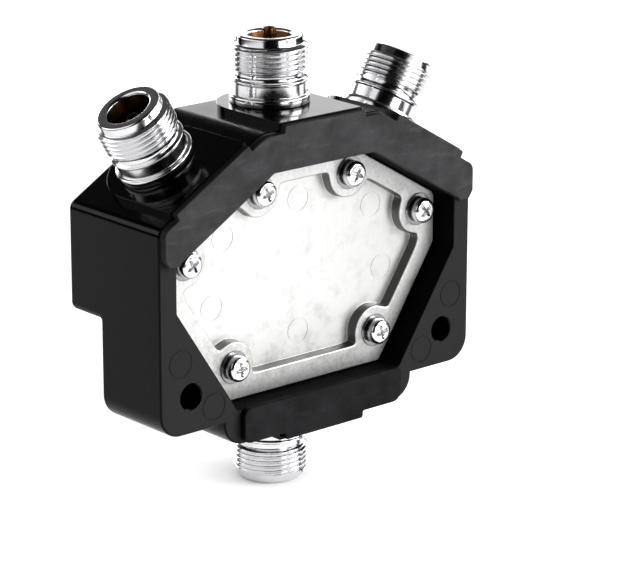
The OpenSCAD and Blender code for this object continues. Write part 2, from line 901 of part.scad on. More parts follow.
// The ball lies below the axis, over the middle hole of the detent plate
module ball_place(y) {
    on_pivot(y)
        rotate([0, 0, 90])
            translate([detent_r, 0, 0])
                children();
}
ball_y = cavity_y + detent_t + running + ball_r;

module detent_ball() {
    color([0.7, 0.7, 0.72])
        ball_place(ball_y)
            sphere(r = ball_r, $fn = 32);
}

// Spring behind the ball: one wire along a helix
coil_turns = 2.5;
coil_r = ball_r - 2 * coil_wire_r;
coil_sides = 6;
coil_steps = 30;
module detent_spring() {
    start = sqrt(pow(ball_r + coil_wire_r + running, 2) - pow(coil_r, 2));
    rise = hub_front_y + spring_hole_deep - ball_y - start - coil_wire_r - running;
    points = [for (i = [0:coil_steps]) for (j = [0:coil_sides - 1])
        let (t = i / coil_steps, a = 360 * coil_turns * t, b = 360 * j / coil_sides,
            r = coil_r + coil_wire_r * cos(b))
        [r * cos(a), r * sin(a), start + rise * t + coil_wire_r * sin(b)]];
    last = coil_steps * coil_sides + coil_sides - 1;
    ends = [[for (j = [0:coil_sides - 1]) j], [for (j = [0:coil_sides - 1]) last - j]];
    sides = [for (i = [0:coil_steps - 1]) for (j = [0:coil_sides - 1])
        let (n = (j + 1) % coil_sides, p = i * coil_sides)
        [p + j, p + coil_sides + j, p + coil_sides + n, p + n]];
    color([0.7, 0.7, 0.72])
        ball_place(ball_y)
            polyhedron(points = points, faces = concat(ends, sides));
}

// Wiper blade: a ring on the rotor's neck with one arm to the contacts
module wiper_blade() {
    reach = contact_r + blade_w / 4;
    color([0.86, 0.84, 0.78])
        difference() {
            union() {
                pivot_disc(blade_y, blade_y + blade_t, ring_d);
                lifted()
                    translate([-blade_w / 2, blade_y, pivot_h])
                        cube([blade_w, blade_t, reach - blade_w / 2]);
                lifted()
                    translate([0, blade_y, pivot_h + reach - blade_w / 2])
                        rotate([-90, 0, 0])
                            cylinder(h = blade_t, d = blade_w);
            }
            pivot_disc(blade_y - over, blade_y + blade_t + over, rotor_neck_d + 2 * running);
        }
}

module rotor_washer() {
    y = blade_y + blade_t;
    color([0.8, 0.8, 0.8])
        difference() {
            pivot_disc(y, y + rotor_washer_t, rotor_washer_d);
            pivot_disc(y - over, y + rotor_washer_t + over, rotor_screw_d + 4 * fit);
        }
}

module rotor_screw() {
    y = blade_y + blade_t + rotor_washer_t;
    color([0.8, 0.8, 0.8])
        difference() {
            union() {
                pivot_disc(y, y + rotor_head_h, rotor_head_d);
                pivot_disc(y - rotor_screw_len, y + rotor_head_h / 2, rotor_screw_d);
            }
            for (a = [45, 135])
                on_pivot(y + rotor_head_h / 2)
                    rotate([0, 0, a])
                        translate([-rotor_head_d / 4, -cross_w / 3, 0])
                            cube([rotor_head_d / 2, cross_w * 2 / 3, rotor_head_h]);
        }
}

// Knob: a round skirt with a tapering grip bar, hollow over the nut
module knob() {
    base_y = front_y - knob_gap;
    room_y = clip_y - clip_t;
    skirt_y = base_y - skirt_t;
    long_r = knob_d / 2 - knob_round;
    color([0.07, 0.07, 0.07])
        difference() {
            union() {
                on_pivot(skirt_y)
                    rotate_extrude()
                        polygon([[0, 0], [knob_d / 2 - 2 * knob_round, 0],
                            [knob_d / 2 - knob_round, knob_round], [knob_d / 2, skirt_t], [0, skirt_t]]);
                hull() {
                    on_pivot(skirt_y - over / 2)
                        for (side = [-1, 1])
                            translate([0, side * (long_r - grip_w / 2), 0])
                                cylinder(h = over, d = grip_w, $fn = 32);
                    on_pivot(knob_front_y + knob_round)
                        for (side = [-1, 1])
                            translate([0, side * (long_r - grip_w / 2), 0])
                                cylinder(h = over, d = grip_w - knob_round, $fn = 32);
                    on_pivot(knob_front_y)
                        for (side = [-1, 1])
                            translate([0, side * (long_r - grip_w / 2), 0])
                                cylinder(h = over, d = grip_w - 3 * knob_round, $fn = 32);
                }
            }
            pivot_disc(room_y, base_y + over, panel_washer_d + 8 * slide);
            pivot_disc(shaft_end_y - slide, base_y, shaft_d + 2 * running);
            set_screw_hole(set_screw_d + 2 * running, knob_d);
            pointer_bar(pointer_t, fit);
        }
}

// Radial hole for the set screw, from the shaft's flat downwards
set_screw_y = (shaft_end_y + flat_end_y) / 2;
module set_screw_hole(d, length) {
    lifted()
        translate([0, set_screw_y, pivot_h - shaft_d / 2 + flat_deep - length])
            cylinder(h = length - running, d = d);
}

module knob_set_screw() {
    color([0.3, 0.3, 0.32])
        set_screw_hole(set_screw_d, set_screw_len);
}

// White pointer line let into the front of the grip bar
module pointer_bar(depth, gap) {
    tip = knob_d / 2 - knob_round - grip_w / 4;
    lifted()
        translate([-pointer_w / 2 - gap, knob_front_y - over * gap / fit, pivot_h + tip - pointer_len - gap])
            cube([pointer_w + 2 * gap, depth + over * gap / fit, pointer_len + 2 * gap]);
}

module knob_pointer() {
    color([0.95, 0.95, 0.95])
        pointer_bar(pointer_t, 0);
}

outer_case();
upper_wall_pad();
lower_wall_pad();
switch_body();
body_cover();
cover_screws();
cover_spring_washers();
collar(0);  // left_collar
collar(1);  // top_collar
collar(2);  // right_collar
collar(3);  // common_collar
port_shell(0);  // left_port_shell
port_shell(1);  // top_port_shell
port_shell(2);  // right_port_shell
port_shell(3);  // common_port_shell
insulator(0);  // left_insulator
insulator(1);  // top_insulator
insulator(2);  // right_insulator
insulator(3);  // common_insulator
contact_pin(0);  // left_contact_pin
contact_pin(1);  // top_contact_pin
contact_pin(2);  // right_contact_pin
contact_pin(3);  // common_contact_pin
fixed_contacts();
common_finger();
shaft_bushing();
bushing_washer();
bushing_nut();
detent_plate();
shaft();
shaft_clip();
rotor();
wiper_blade();
rotor_washer();
rotor_screw();
detent_ball();
detent_spring();
knob();
knob_pointer();
knob_set_screw();
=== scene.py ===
import math

import bmesh
import bpy
import numpy as np
from mathutils import Matrix, Vector


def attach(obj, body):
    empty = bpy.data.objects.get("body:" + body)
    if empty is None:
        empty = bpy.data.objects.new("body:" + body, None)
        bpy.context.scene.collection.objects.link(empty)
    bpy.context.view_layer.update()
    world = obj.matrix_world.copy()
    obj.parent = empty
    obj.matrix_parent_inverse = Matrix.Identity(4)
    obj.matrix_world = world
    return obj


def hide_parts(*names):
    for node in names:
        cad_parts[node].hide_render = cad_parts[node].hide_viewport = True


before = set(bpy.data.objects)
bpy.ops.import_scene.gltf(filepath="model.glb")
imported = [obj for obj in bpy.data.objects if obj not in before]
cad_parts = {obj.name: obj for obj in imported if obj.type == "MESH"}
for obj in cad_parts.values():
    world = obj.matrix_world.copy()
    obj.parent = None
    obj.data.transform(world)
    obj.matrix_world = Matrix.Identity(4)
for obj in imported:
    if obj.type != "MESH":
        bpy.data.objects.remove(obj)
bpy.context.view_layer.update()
scene = bpy.context.scene

# Sizes in millimetres: x across, y towards the wall side, h upwards from the lower edge of the ears, which lies
# FOOT above the frame's origin. The other places are measured in the same way
MM = 0.001
FOOT = 21.0
HALF_W = 41.8
SIDE_H = 43.2
TOP_H = 58.6
SLOPE = math.radians(30.5)
CROWN_X = HALF_W - (TOP_H - SIDE_H) / math.tan(SLOPE)
DROP = 5.3
FOOT_HALF = 25.5
REAR = 16.0
FRONT = -13.8
EAR_Y = -3.2
EAR_STEP = 20.7
FRONT_IN = -11.3
RIM_SIDE = 4.5
RIM_TOP = 8.2
OPEN_LOW = 2.1
OPEN_LOW_X = 21.9
LOW_SLOPE = math.radians(56.7)
PLATE_GAP = 1.25
UPPER_GAP = 0.25
LOWER_GAP = 0.4
COVER_Y = 6.8
FLOOR_Y = 8.8
RIM_Y = 11.2
PAD_T = 1.6
PIVOT_H = 22.0
COLLAR_T = 1.5
COLLAR_NECK = 18.8
MOUNT = (34.1, 7.8)
PORT_LEN = 14.2
THROWS = (-60.0, 0.0, 60.0)
SCREWS = [(12.03, 45.1), (31.4, 33.83), (19.2, 9.6), (-12.03, 45.1), (-31.4, 33.83), (-19.2, 9.6)]
SEAT = ((HALF_W + CROWN_X) / 2, (SIDE_H + TOP_H) / 2)
PORTS = {
    "left": (SEAT[0], SEAT[1], SLOPE),
    "top": (0.0, TOP_H, 0.0),
    "right": (-SEAT[0], SEAT[1], -SLOPE),
    "common": (0.0, -DROP, math.pi),
}


# Shapes
def outline(corners, radii, inset=0.0, steps=8):
    """Closed counter-clockwise outline. Every edge moves inwards by inset. Every corner becomes an arc whose
    radius shrinks by inset where the outline is convex and grows by it where it is concave."""
    p = np.asarray(corners, float)
    edge = np.roll(p, -1, 0) - p
    edge /= np.linalg.norm(edge, axis=1, keepdims=True)
    after = np.stack([-edge[:, 1], edge[:, 0]], 1)
    before = np.roll(after, 1, 0)
    miter = (after + before) / (1 + (after * before).sum(1, keepdims=True))
    came = np.roll(edge, 1, 0)
    side = np.sign(came[:, 0] * edge[:, 1] - came[:, 1] * edge[:, 0])
    r = np.maximum(np.asarray(radii, float) - side * inset, 0.0)
    centre = p + miter * inset + (side * r)[:, None] * miter
    angle = np.arccos(np.clip((after * before).sum(1), -1, 1))[:, None]
    t = np.linspace(0, 1, steps + 1)[None, :]
    swing = np.maximum(np.sin(angle), 1e-9)
    u, v = np.sin((1 - t) * angle) / swing, np.sin(t * angle) / swing
    turned = u[..., None] * before[:, None, :] + v[..., None] * after[:, None, :]
    arcs = centre[:, None, :] - (side * r)[:, None, None] * turned
    return arcs.reshape(-1, 2)


def rounding(radius, steps=4):
    """Pairs of inset and depth along a quarter circle: inset falls from radius to 0 while depth grows from 0
    to radius."""
    a = np.linspace(0, math.pi / 2, steps + 1)
    return [(radius * (1 - math.sin(k)), radius * (1 - math.cos(k))) for k in a]


def standing(loop, y):
    """A loop in x and h, set upright at depth y."""
    return np.stack([loop[:, 0], np.full(len(loop), float(y)), loop[:, 1] + FOOT], 1)


def strips(rows, count, first=0):
    """Quads between each closed ring of points and the next one."""
    i = first + np.arange(rows - 1)[:, None] * count
    j = np.arange(count)
    k = (j + 1) % count
    return np.stack([i + j, i + k, i + count + k, i + count + j], axis=-1).reshape(-1, 4).tolist()


def loft(rings, cap_first=True, cap_last=True):
    """Skin over rings of equal count, with a flat cap at either end."""
    rings = np.asarray(rings, float)
    rows, count = rings.shape[:2]
    faces = strips(rows, count)
    if cap_first:
        faces.append(list(range(count)))
    if cap_last:
        faces.append(list(range((rows - 1) * count, rows * count)))
    return rings.reshape(-1, 3), faces


def prism(corners, radii, y0, y1, edge0=0.0, edge1=0.0, steps=8):
    """Solid between the depths y0 and y1 on a rounded outline, its end edges rounded by edge0 and edge1. A
    negative edge flares outwards there, as a cutter that rounds the edge of a hole does."""
    rings = []
    for inset, depth in rounding(abs(edge0)):
        rings.append(standing(outline(corners, radii, math.copysign(inset, edge0), steps), y0 + depth))
    for inset, depth in reversed(rounding(abs(edge1))):
        rings.append(standing(outline(corners, radii, math.copysign(inset, edge1), steps), y1 - depth))
    return loft(rings)


def turned(profile, count=96, closed=False):
    """Solid of revolution: the profile's (radius, height) points carried round the local z axis."""
    profile = np.asarray(profile, float)
    a = np.linspace(0, 2 * math.pi, count, endpoint=False)
    x = profile[:, 0, None] * np.cos(a)
    y = profile[:, 0, None] * np.sin(a)
    z = np.repeat(profile[:, 1, None], count, 1)
    rings = np.stack([x, y, z], -1)
    if closed:
        rings = np.concatenate([rings, rings[:1]])
    return loft(rings, not closed, not closed)


def at_port(points, name):
    """Local points, z outwards along the port's axis, carried to that port."""
    x, h, angle = PORTS[name]
    c, s = math.cos(angle), math.sin(angle)
    p = np.asarray(points, float)
    return np.stack([x + c * p[:, 0] + s * p[:, 2], p[:, 1], h + FOOT - s * p[:, 0] + c * p[:, 2]], 1)


def at_depth(points, x, h, y):
    """Local points, z towards the wall side, carried to the place (x, h) at depth y."""
    p = np.asarray(points, float)
    return np.stack([x + p[:, 0], y + p[:, 2], h + FOOT - p[:, 1]], 1)


def joined(parts):
    """Several (points, faces) pairs as one."""
    points, faces, start = [], [], 0
    for p, f in parts:
        points.append(np.asarray(p, float))
        faces += [[k + start for k in face] for face in f]
        start += len(p)
    return np.concatenate(points), faces


def body_of(name, shape):
    """An object holding the shape, doubles merged and normals outwards."""
    points, faces = shape
    mesh = bpy.data.meshes.new(name)
    mesh.from_pydata((np.asarray(points) * MM).tolist(), [], faces)
    bm = bmesh.new()
    bm.from_mesh(mesh)
    bmesh.ops.remove_doubles(bm, verts=bm.verts, dist=2e-6)
    bmesh.ops.dissolve_degenerate(bm, edges=bm.edges, dist=1e-6)
    bmesh.ops.recalc_face_normals(bm, faces=bm.faces)
    bm.to_mesh(mesh)
    bm.free()
    obj = bpy.data.objects.new(name, mesh)
    scene.collection.objects.link(obj)
    return obj


def of_faces(obj, what):
    """The centres or normals of an object's faces, a row for each."""
    values = np.zeros(3 * len(obj.data.polygons))
    obj.data.polygons.foreach_get(what, values)
    return values.reshape(-1, 3)


def second_finish(obj, material, chosen):
    """Gives another material to the chosen faces."""
    obj.data.materials.append(material)
    obj.data.polygons.foreach_set("material_index", chosen.astype(int))


def combine(obj, shape, how="DIFFERENCE"):
    """obj with the shape cut away from it or joined to it."""
    tool = body_of("tool", shape)
    step = obj.modifiers.new("step", "BOOLEAN")
    step.operation = how
    step.object = tool
    step.solver = "EXACT"
    bpy.context.view_layer.update()
    result = bpy.data.meshes.new_from_object(obj.evaluated_get(bpy.context.evaluated_depsgraph_get()))
    old = obj.data
    obj.modifiers.clear()
    obj.data = result
    bpy.data.meshes.remove(old)
    bpy.data.objects.remove(tool)
    result.name = obj.name
    return obj


def finished(obj, material, body, stands_for=(), sharp=32.0):
    """Gives a piece its finish, its place in the motion and clean shading."""
    obj.data.materials.clear()
    obj.data.materials.append(material)
    obj.data.shade_smooth()
    obj.data.set_sharp_from_angle(angle=math.radians(sharp))
    even = obj.modifiers.new("even", "WEIGHTED_NORMAL")
    even.keep_sharp = True
    even.weight = 80
    if stands_for:
        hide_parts(*stands_for)
    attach(obj, body)
    return obj


# Materials
def linear(hex_colour):
    """sRGB hex to the linear values that Blender's sockets take."""
    v = np.array([int(hex_colour[i:i + 2], 16) / 255 for i in (1, 3, 5)])
    v = np.where(v <= 0.04045, v / 12.92, ((v + 0.055) / 1.055) ** 2.4)
    return (*v.tolist(), 1.0)


def node(tree, kind, settings=None, values=None, links=None):
    """Adds a node: settings are its own properties, values fill input sockets, and links join other sockets
    to its inputs."""
    n = tree.nodes.new(kind)
    for key, value in (settings or {}).items():
        setattr(n, key, value)
    for key, value in (values or {}).items():
        n.inputs[key].default_value = value
    for key, source in (links or {}).items():
        tree.links.new(source, n.inputs[key])
    return n


def material(name, hex_colour, roughness, metallic=0.0, **sockets):
    """A material with one Principled shader, returned with its tree, shader and object coordinates in mm."""
    m = bpy.data.materials.new(name)
    m.use_nodes = True
    tree = m.node_tree
    tree.nodes.clear()
    values = {"Base Color": linear(hex_colour), "Roughness": roughness, "Metallic": metallic}
    values.update(sockets)
    shader = node(tree, "ShaderNodeBsdfPrincipled", values=values)
    out = node(tree, "ShaderNodeOutputMaterial", links={"Surface": shader.outputs["BSDF"]})
    place = node(tree, "ShaderNodeTexCoord")
    scaled = node(tree, "ShaderNodeVectorMath", {"operation": "SCALE"}, {"Scale": 1000.0},
                  {0: place.outputs["Object"]})
    m.diffuse_color = linear(hex_colour)
    return m, tree, shader, scaled.outputs["Vector"]


def noise(tree, where, size_mm, detail=3.0, rough=0.55, **values):
    """Noise whose main features are about size_mm across."""
    values.update({"Scale": 1.0 / size_mm, "Detail": detail, "Roughness": rough})
    return node(tree, "ShaderNodeTexNoise", values=values, links={"Vector": where}).outputs["Fac"]


def spread(tree, source, low, high, to_low, to_high):
    """The source's range low to high carried to to_low to to_high and held there."""
    n = node(tree, "ShaderNodeMapRange", {"clamp": True},
             {"From Min": low, "From Max": high, "To Min": to_low, "To Max": to_high}, {"Value": source})
    return n.outputs["Result"]


def blend(tree, amount, first, second):
    """Colour mix of two hex colours or sockets by amount."""
    n = node(tree, "ShaderNodeMix", {"data_type": "RGBA"})
    for key, colour in ((6, first), (7, second)):
        if isinstance(colour, str):
            n.inputs[key].default_value = linear(colour)
        else:
            tree.links.new(colour, n.inputs[key])
    tree.links.new(amount, n.inputs[0])
    return n.outputs[2]


def times(tree, first, second):
    """Product of two sockets or numbers."""
    n = node(tree, "ShaderNodeMath", {"operation": "MULTIPLY"})
    for key, value in ((0, first), (1, second)):
        if isinstance(value, (int, float)):
            n.inputs[key].default_value = value
        else:
            tree.links.new(value, n.inputs[key])
    return n.outputs[0]


def relief(tree, shader, height, depth_mm, strength=1.0):
    """Bump from a height between 0 and 1 that stands for depth_mm."""
    n = node(tree, "ShaderNodeBump", values={"Strength": strength, "Distance": depth_mm * MM},
             links={"Height": height})
    tree.links.new(n.outputs["Normal"], shader.inputs["Normal"])
    return n


def wall_side(tree):
    """How far a face looks to the wall side: the Y part of its true normal."""
    facing = node(tree, "ShaderNodeNewGeometry")
    return node(tree, "ShaderNodeSeparateXYZ", links={0: facing.outputs["True Normal"]}).outputs["Y"]


def total(tree, first, second, clamped=False):
    """Sum of two sockets."""
    return node(tree, "ShaderNodeMath", {"operation": "ADD", "use_clamp": clamped},
                links={0: first, 1: second}).outputs[0]


# Injection moulded ABS: black and glossy with faint orange peel, a little handled; the face that was ground
# flat for the wall is duller, and its colour there is painted paler as painted light
case_abs, tree, shader, where = material("black_moulded_abs", "#060607", 0.2,
                                         **{"Specular IOR Level": 0.085})
peel = noise(tree, where, 0.9, 4.0)
wear = noise(tree, where, 14.0, 5.0, 0.6)
# Faces turned to the wall side are duller, and painted paler as painted light
ground_and_painted_light = spread(tree, wall_side(tree), 0.96, 0.995, 0.0, 1.0)
tree.links.new(blend(tree, ground_and_painted_light, "#060607", "#303031"), shader.inputs["Base Color"])
smooth = spread(tree, wear, 0.35, 0.7, 0.15, 0.22)
rough = node(tree, "ShaderNodeMath", {"operation": "MULTIPLY_ADD"}, {1: 0.35}, {0: ground_and_painted_light, 2: smooth})
tree.links.new(rough.outputs[0], shader.inputs["Roughness"])
relief(tree, shader, peel, 0.012)

# The same ABS from a polished mould: a clear mirror of the port above it
collar_abs, tree, shader, where = material("polished_black_abs", "#050506", 0.1,
                                           **{"Specular IOR Level": 0.11})
haze = noise(tree, where, 5.0, 4.0)
tree.links.new(spread(tree, haze, 0.35, 0.7, 0.08, 0.13), shader.inputs["Roughness"])

# The same ABS from a sandblasted part of the mould, for the window's walls and the collars' inner ends
dull_abs, tree, shader, where = material("sandblasted_black_abs", "#060607", 0.8,
                                         **{"Specular IOR Level": 0.05})
relief(tree, shader, noise(tree, where, 0.5, 4.0), 0.03)


def rubber(name, dark, light, rubbed_to, shine, seed):
    """Cured sheet rubber: matte, cloudy, with pale rub marks and shallow creases a few millimetres apart, its
    cut sides painted near black as painted shade."""
    m, tree, shader, where = material(name, dark, 0.75, **{"Specular IOR Level": shine})
    shifted = node(tree, "ShaderNodeVectorMath", {"operation": "ADD"}, {1: (seed, seed * 0.7, -seed)},
                   {0: where}).outputs["Vector"]
    stretched = node(tree, "ShaderNodeMapping", values={"Rotation": (0, 0.5, 0), "Scale": (0.35, 1.0, 1.6)},
                     links={"Vector": shifted}).outputs["Vector"]
    cloud = noise(tree, shifted, 9.0, 5.0, 0.6)
    rub = noise(tree, stretched, 3.0, 6.0, 0.65)
    speck = noise(tree, shifted, 0.5, 2.0)
    mixed = blend(tree, spread(tree, cloud, 0.35, 0.68, 0.0, 1.0), dark, light)
    rubbed = blend(tree, spread(tree, rub, 0.55, 0.78, 0.0, 0.3), mixed, rubbed_to)
    # Sides turned away from the wall side are painted near black: painted shade
    painted_shade_sides = blend(tree, spread(tree, wall_side(tree), 0.3, 0.7, 1.0, 0.0), rubbed, "#070708")
    tree.links.new(painted_shade_sides, shader.inputs["Base Color"])
    tree.links.new(spread(tree, rub, 0.3, 0.7, 0.8, 0.62), shader.inputs["Roughness"])
    height = node(tree, "ShaderNodeMath", {"operation": "MULTIPLY_ADD"}, {1: 0.25}, {0: speck, 2: cloud})
    relief(tree, shader, height.outputs[0], 0.12)
    return m


upper_rubber = rubber("black_sheet_rubber", "#272728", "#434345", "#747477", 0.32, 0.0)
lower_rubber = rubber("black_sheet_rubber_foot", "#1e1e1f", "#2f2f31", "#48484a", 0.05, 31.0)


def casting(name, base, shade, wall, roughness):
    """Zinc die-casting: bright, cloudy grey skin with flow marks and fine pits. The raised rim is streaked
    darker, partly by the casting and partly as painted shade from the pad. Painted shade darkens it towards
    the foot, and faces turned away from the wall side, the drafted walls among them, are painted dark as
    painted shade."""
    m, tree, shader, where = material(name, base, roughness, 1.0)
    cloud = noise(tree, where, 4.5, 6.0, 0.65)
    flow = noise(tree, where, 0.7, 5.0, 0.7, Distortion=0.6)
    pits = noise(tree, where, 0.28, 2.0)
    axes = node(tree, "ShaderNodeSeparateXYZ", links={0: where}).outputs
    # Painted shade: the colour darkens towards the foot
    low = spread(tree, axes["Z"], FOOT + 9.0, FOOT + 19.0, 0.45, 0.0)
    # The raised rim is streaked darker: partly the casting's own marks, partly painted shade from the pad
    rim = spread(tree, axes["Y"], RIM_Y - 0.6, RIM_Y - 0.2, 0.0, 0.42)
    painted_foot_shade = times(tree, low, spread(tree, cloud, 0.3, 0.6, 0.5, 1.0))
    rim_streaks_and_shade = times(tree, rim, spread(tree, flow, 0.35, 0.7, 0.0, 1.2))
    patches_and_foot_shade = total(tree, spread(tree, cloud, 0.5, 0.78, 0.0, 0.6), painted_foot_shade)
    toned = blend(tree, total(tree, patches_and_foot_shade, rim_streaks_and_shade, True), base, shade)
    marked = blend(tree, spread(tree, flow, 0.6, 0.82, 0.0, 0.3), toned, "#8a8a88")
    # Faces turned away from the wall side, the drafted walls among them, are painted dark: painted shade
    walls_painted_dark = blend(tree, spread(tree, wall_side(tree), 0.35, 0.75, 1.0, 0.0), marked, wall)
    tree.links.new(walls_painted_dark, shader.inputs["Base Color"])
    uneven = spread(tree, cloud, 0.35, 0.7, roughness - 0.05, roughness + 0.1)
    tree.links.new(uneven, shader.inputs["Roughness"])
    height = node(tree, "ShaderNodeMath", {"operation": "MULTIPLY_ADD"}, {1: 0.5}, {0: pits, 2: flow})
    relief(tree, shader, height.outputs[0], 0.035)
    return m


# The fourth colour of each casting is the painted shade on faces turned away from the wall side
cover_zinc = casting("die_cast_zinc_cover", "#eeeeec", "#b8b8b6", "#6a6a68", 0.42)
body_zinc = casting("die_cast_zinc_body", "#8f8f8d", "#6c6c6a", "#5a5a58", 0.5)


def plated(name, base, roughness, haze=0.04):
    """Plated turned metal: mirror finish with faint haze and hardly visible turning marks."""
    m, tree, shader, where = material(name, base, roughness, 1.0)
    cloud = noise(tree, where, 2.5, 4.0)
    fine = noise(tree, where, 0.18, 2.0)
    tree.links.new(spread(tree, cloud, 0.35, 0.7, roughness, roughness + haze), shader.inputs["Roughness"])
    relief(tree, shader, fine, 0.0015)
    return m


port_nickel = plated("bright_nickel_plate", "#e4e4e6", 0.12, 0.06)
screw_nickel = plated("nickel_plated_steel", "#e6e6e8", 0.14)
washer_steel = plated("zinc_plated_steel", "#9a9a9c", 0.2)
gold = plated("gold_plated_brass", "#805a36", 0.2)
bore_brass = plated("dulled_brass_bore", "#5e4126", 0.26)
silver = plated("silver_plated_brass", "#dcd7c9", 0.2)
brass = plated("turned_brass", "#c9a75c", 0.22)
steel = plated("ground_steel", "#b4b4b8", 0.2)
spring_steel = plated("dark_spring_steel", "#454547", 0.22)
black_steel = plated("blackened_steel", "#3a3a3c", 0.35)

# Fluoropolymer insulator: waxy white, slightly translucent
ptfe, tree, shader, where = material("white_ptfe", "#e9e6dd", 0.38, **{"Subsurface Weight": 0.15})
tree.links.new(spread(tree, noise(tree, where, 1.2), 0.3, 0.7, 0.32, 0.46), shader.inputs["Roughness"])

# Glass-filled nylon of the rotor: pale and dull
nylon, tree, shader, where = material("glass_filled_nylon", "#d8d2bf", 0.5)
relief(tree, shader, noise(tree, where, 0.6, 4.0), 0.02)

# Knob: black ABS from a lightly textured mould
knob_abs, tree, shader, where = material("satin_black_abs", "#0e0e0f", 0.38)
relief(tree, shader, noise(tree, where, 0.35, 3.0), 0.012)

# Pointer: white paint filled into the knob's groove
white_fill, tree, shader, where = material("white_fill_paint", "#ececea", 0.45)
relief(tree, shader, noise(tree, where, 0.4, 3.0), 0.01)


# Outlines of the case and of its window
def opening(d, upper=None, lower=None):
    """The window's outline set in by d, and along its upper and lower edges by their own distances."""
    upper = d if upper is None else upper
    lower = d if lower is None else lower
    xs = HALF_W - RIM_SIDE - d
    zt = TOP_H - RIM_TOP - upper
    reach = (RIM_TOP + upper) / math.cos(SLOPE)
    zu = SIDE_H + (HALF_W - xs) * math.tan(SLOPE) - reach
    xt = HALF_W - (zt - SIDE_H + reach) / math.tan(SLOPE)
    zb = OPEN_LOW + lower
    xb = OPEN_LOW_X + lower / math.tan(LOW_SLOPE) - d / math.sin(LOW_SLOPE)
    zl = OPEN_LOW + (xs - OPEN_LOW_X + d / math.sin(LOW_SLOPE)) * math.tan(LOW_SLOPE)
    return [(xb, zb), (xs, zl), (xs, zu), (xt, zt), (-xt, zt), (-xs, zu), (-xs, zl), (-xb, zb)]


def facet_point(t, h, sign=1):
    """Point t along a sloping facet from its lower end and h above it."""
    c, s = math.cos(SLOPE), math.sin(SLOPE)
    return (sign * (HALF_W - t * c + h * s), SIDE_H + t * s + h * c)


FACET = math.hypot(HALF_W - CROWN_X, TOP_H - SIDE_H)

# Case: full-depth body and two shallower ears joined, then window, slots, holes and mould marks cut
full = [(FOOT_HALF, -DROP), (FOOT_HALF, EAR_STEP), (HALF_W, EAR_STEP), (HALF_W, SIDE_H), (CROWN_X, TOP_H)]
full += [(-x, h) for x, h in reversed(full)]
full_r = [5, 1.2, 1.7, 2.5, 6, 6, 2.5, 1.7, 1.2, 5]
case = body_of("case_moulding", prism(full, full_r, FRONT, REAR, 1.5, 0.45))
for side in (1, -1):
    ear = [(18, 0), (HALF_W, 0), (HALF_W, 25), (18, 25)]
    if side < 0:
        ear = [(-x, h) for x, h in reversed(ear)]
    radii = [0, 5, 0, 0] if side > 0 else [0, 0, 5, 0]
    combine(case, prism(ear, radii, EAR_Y, REAR, 0.7, 0.45), "UNION")

# Fillet in the step above the ears: its section swept across, following the rounded corners at either end
STEP_R, CORNER_R, EAR_EDGE = 1.2, 1.7, 0.7
bend = np.linspace(0, math.pi / 2, 9)
step = [(EAR_Y + STEP_R * (math.sin(t) - 1), EAR_STEP + STEP_R * (math.cos(t) - 1)) for t in bend]
step += [(EAR_Y + 1, EAR_STEP - STEP_R), (EAR_Y + 1, EAR_STEP + 1), (EAR_Y - STEP_R, EAR_STEP + 1)]
past = (CORNER_R - 0.03) * np.sin(np.linspace(0, math.pi / 2, 10))
rise = CORNER_R - np.sqrt(CORNER_R ** 2 - past ** 2)
back = EAR_EDGE - np.sqrt(EAR_EDGE ** 2 - np.maximum(past - CORNER_R + EAR_EDGE, 0) ** 2)
ends = [(HALF_W - CORNER_R + t, d, b) for t, d, b in zip(past, rise, back)]
ends = [(-x, d, b) for x, d, b in reversed(ends)] + ends
combine(case, loft([[(x, y + b, h + d + FOOT) for y, h in step] for x, d, b in ends]), "UNION")

# Raised marks at the knob's three places, then the window and the room behind it
MARK = [(-0.6, 16.5), (0.6, 16.5), (0.6, 20.5), (-0.6, 20.5)]
for angle in THROWS:
    a = math.radians(angle)
    c, s = math.cos(a), math.sin(a)
    mark = [(x * c + h * s, PIVOT_H - x * s + h * c) for x, h in MARK]
    combine(case, prism(mark, [0.3] * 4, FRONT - 0.4, FRONT + 0.5, 0.15, 0.0, 3), "UNION")
combine(case, prism(opening(0), [1.2] * 8, EAR_Y + 2.5, REAR + 0.01, 0.0, -0.4))
inner = opening(0)
deep = [(OPEN_LOW_X, OPEN_LOW), (OPEN_LOW_X, 23.2), (inner[2][0], 23.2), inner[2], inner[3]]
deep += [(-x, h) for x, h in reversed(deep)]
combine(case, prism(deep, [0.4] * 10, FRONT_IN, EAR_Y + 4.0, 0.0, 0.0, 2))


def slot_loop(width, inset=0.0, steps=24):
    """Round end about the port's axis with two straight sides that run to the wall side."""
    a = np.linspace(math.pi, 2 * math.pi, 2 * steps + 1)
    r = width / 2 - inset
    arc = np.stack([r * np.cos(a), r * np.sin(a)], 1)
    rear = REAR - inset
    return np.concatenate([[[-r, rear]], arc, [[r, rear]]])


def slot_prism(width, s0, s1, edge=0.0):
    """Solid on that loop from s0 to s1 along the port's axis, its outer edge rounded."""
    rings = [(0.0, s0)]
    rings += [(inset, s1 - depth) for inset, depth in reversed(rounding(edge))]
    loops = [slot_loop(width, inset) for inset, s in rings]
    return loft([np.column_stack([l, np.full(len(l), s)]) for l, (inset, s) in zip(loops, rings)])


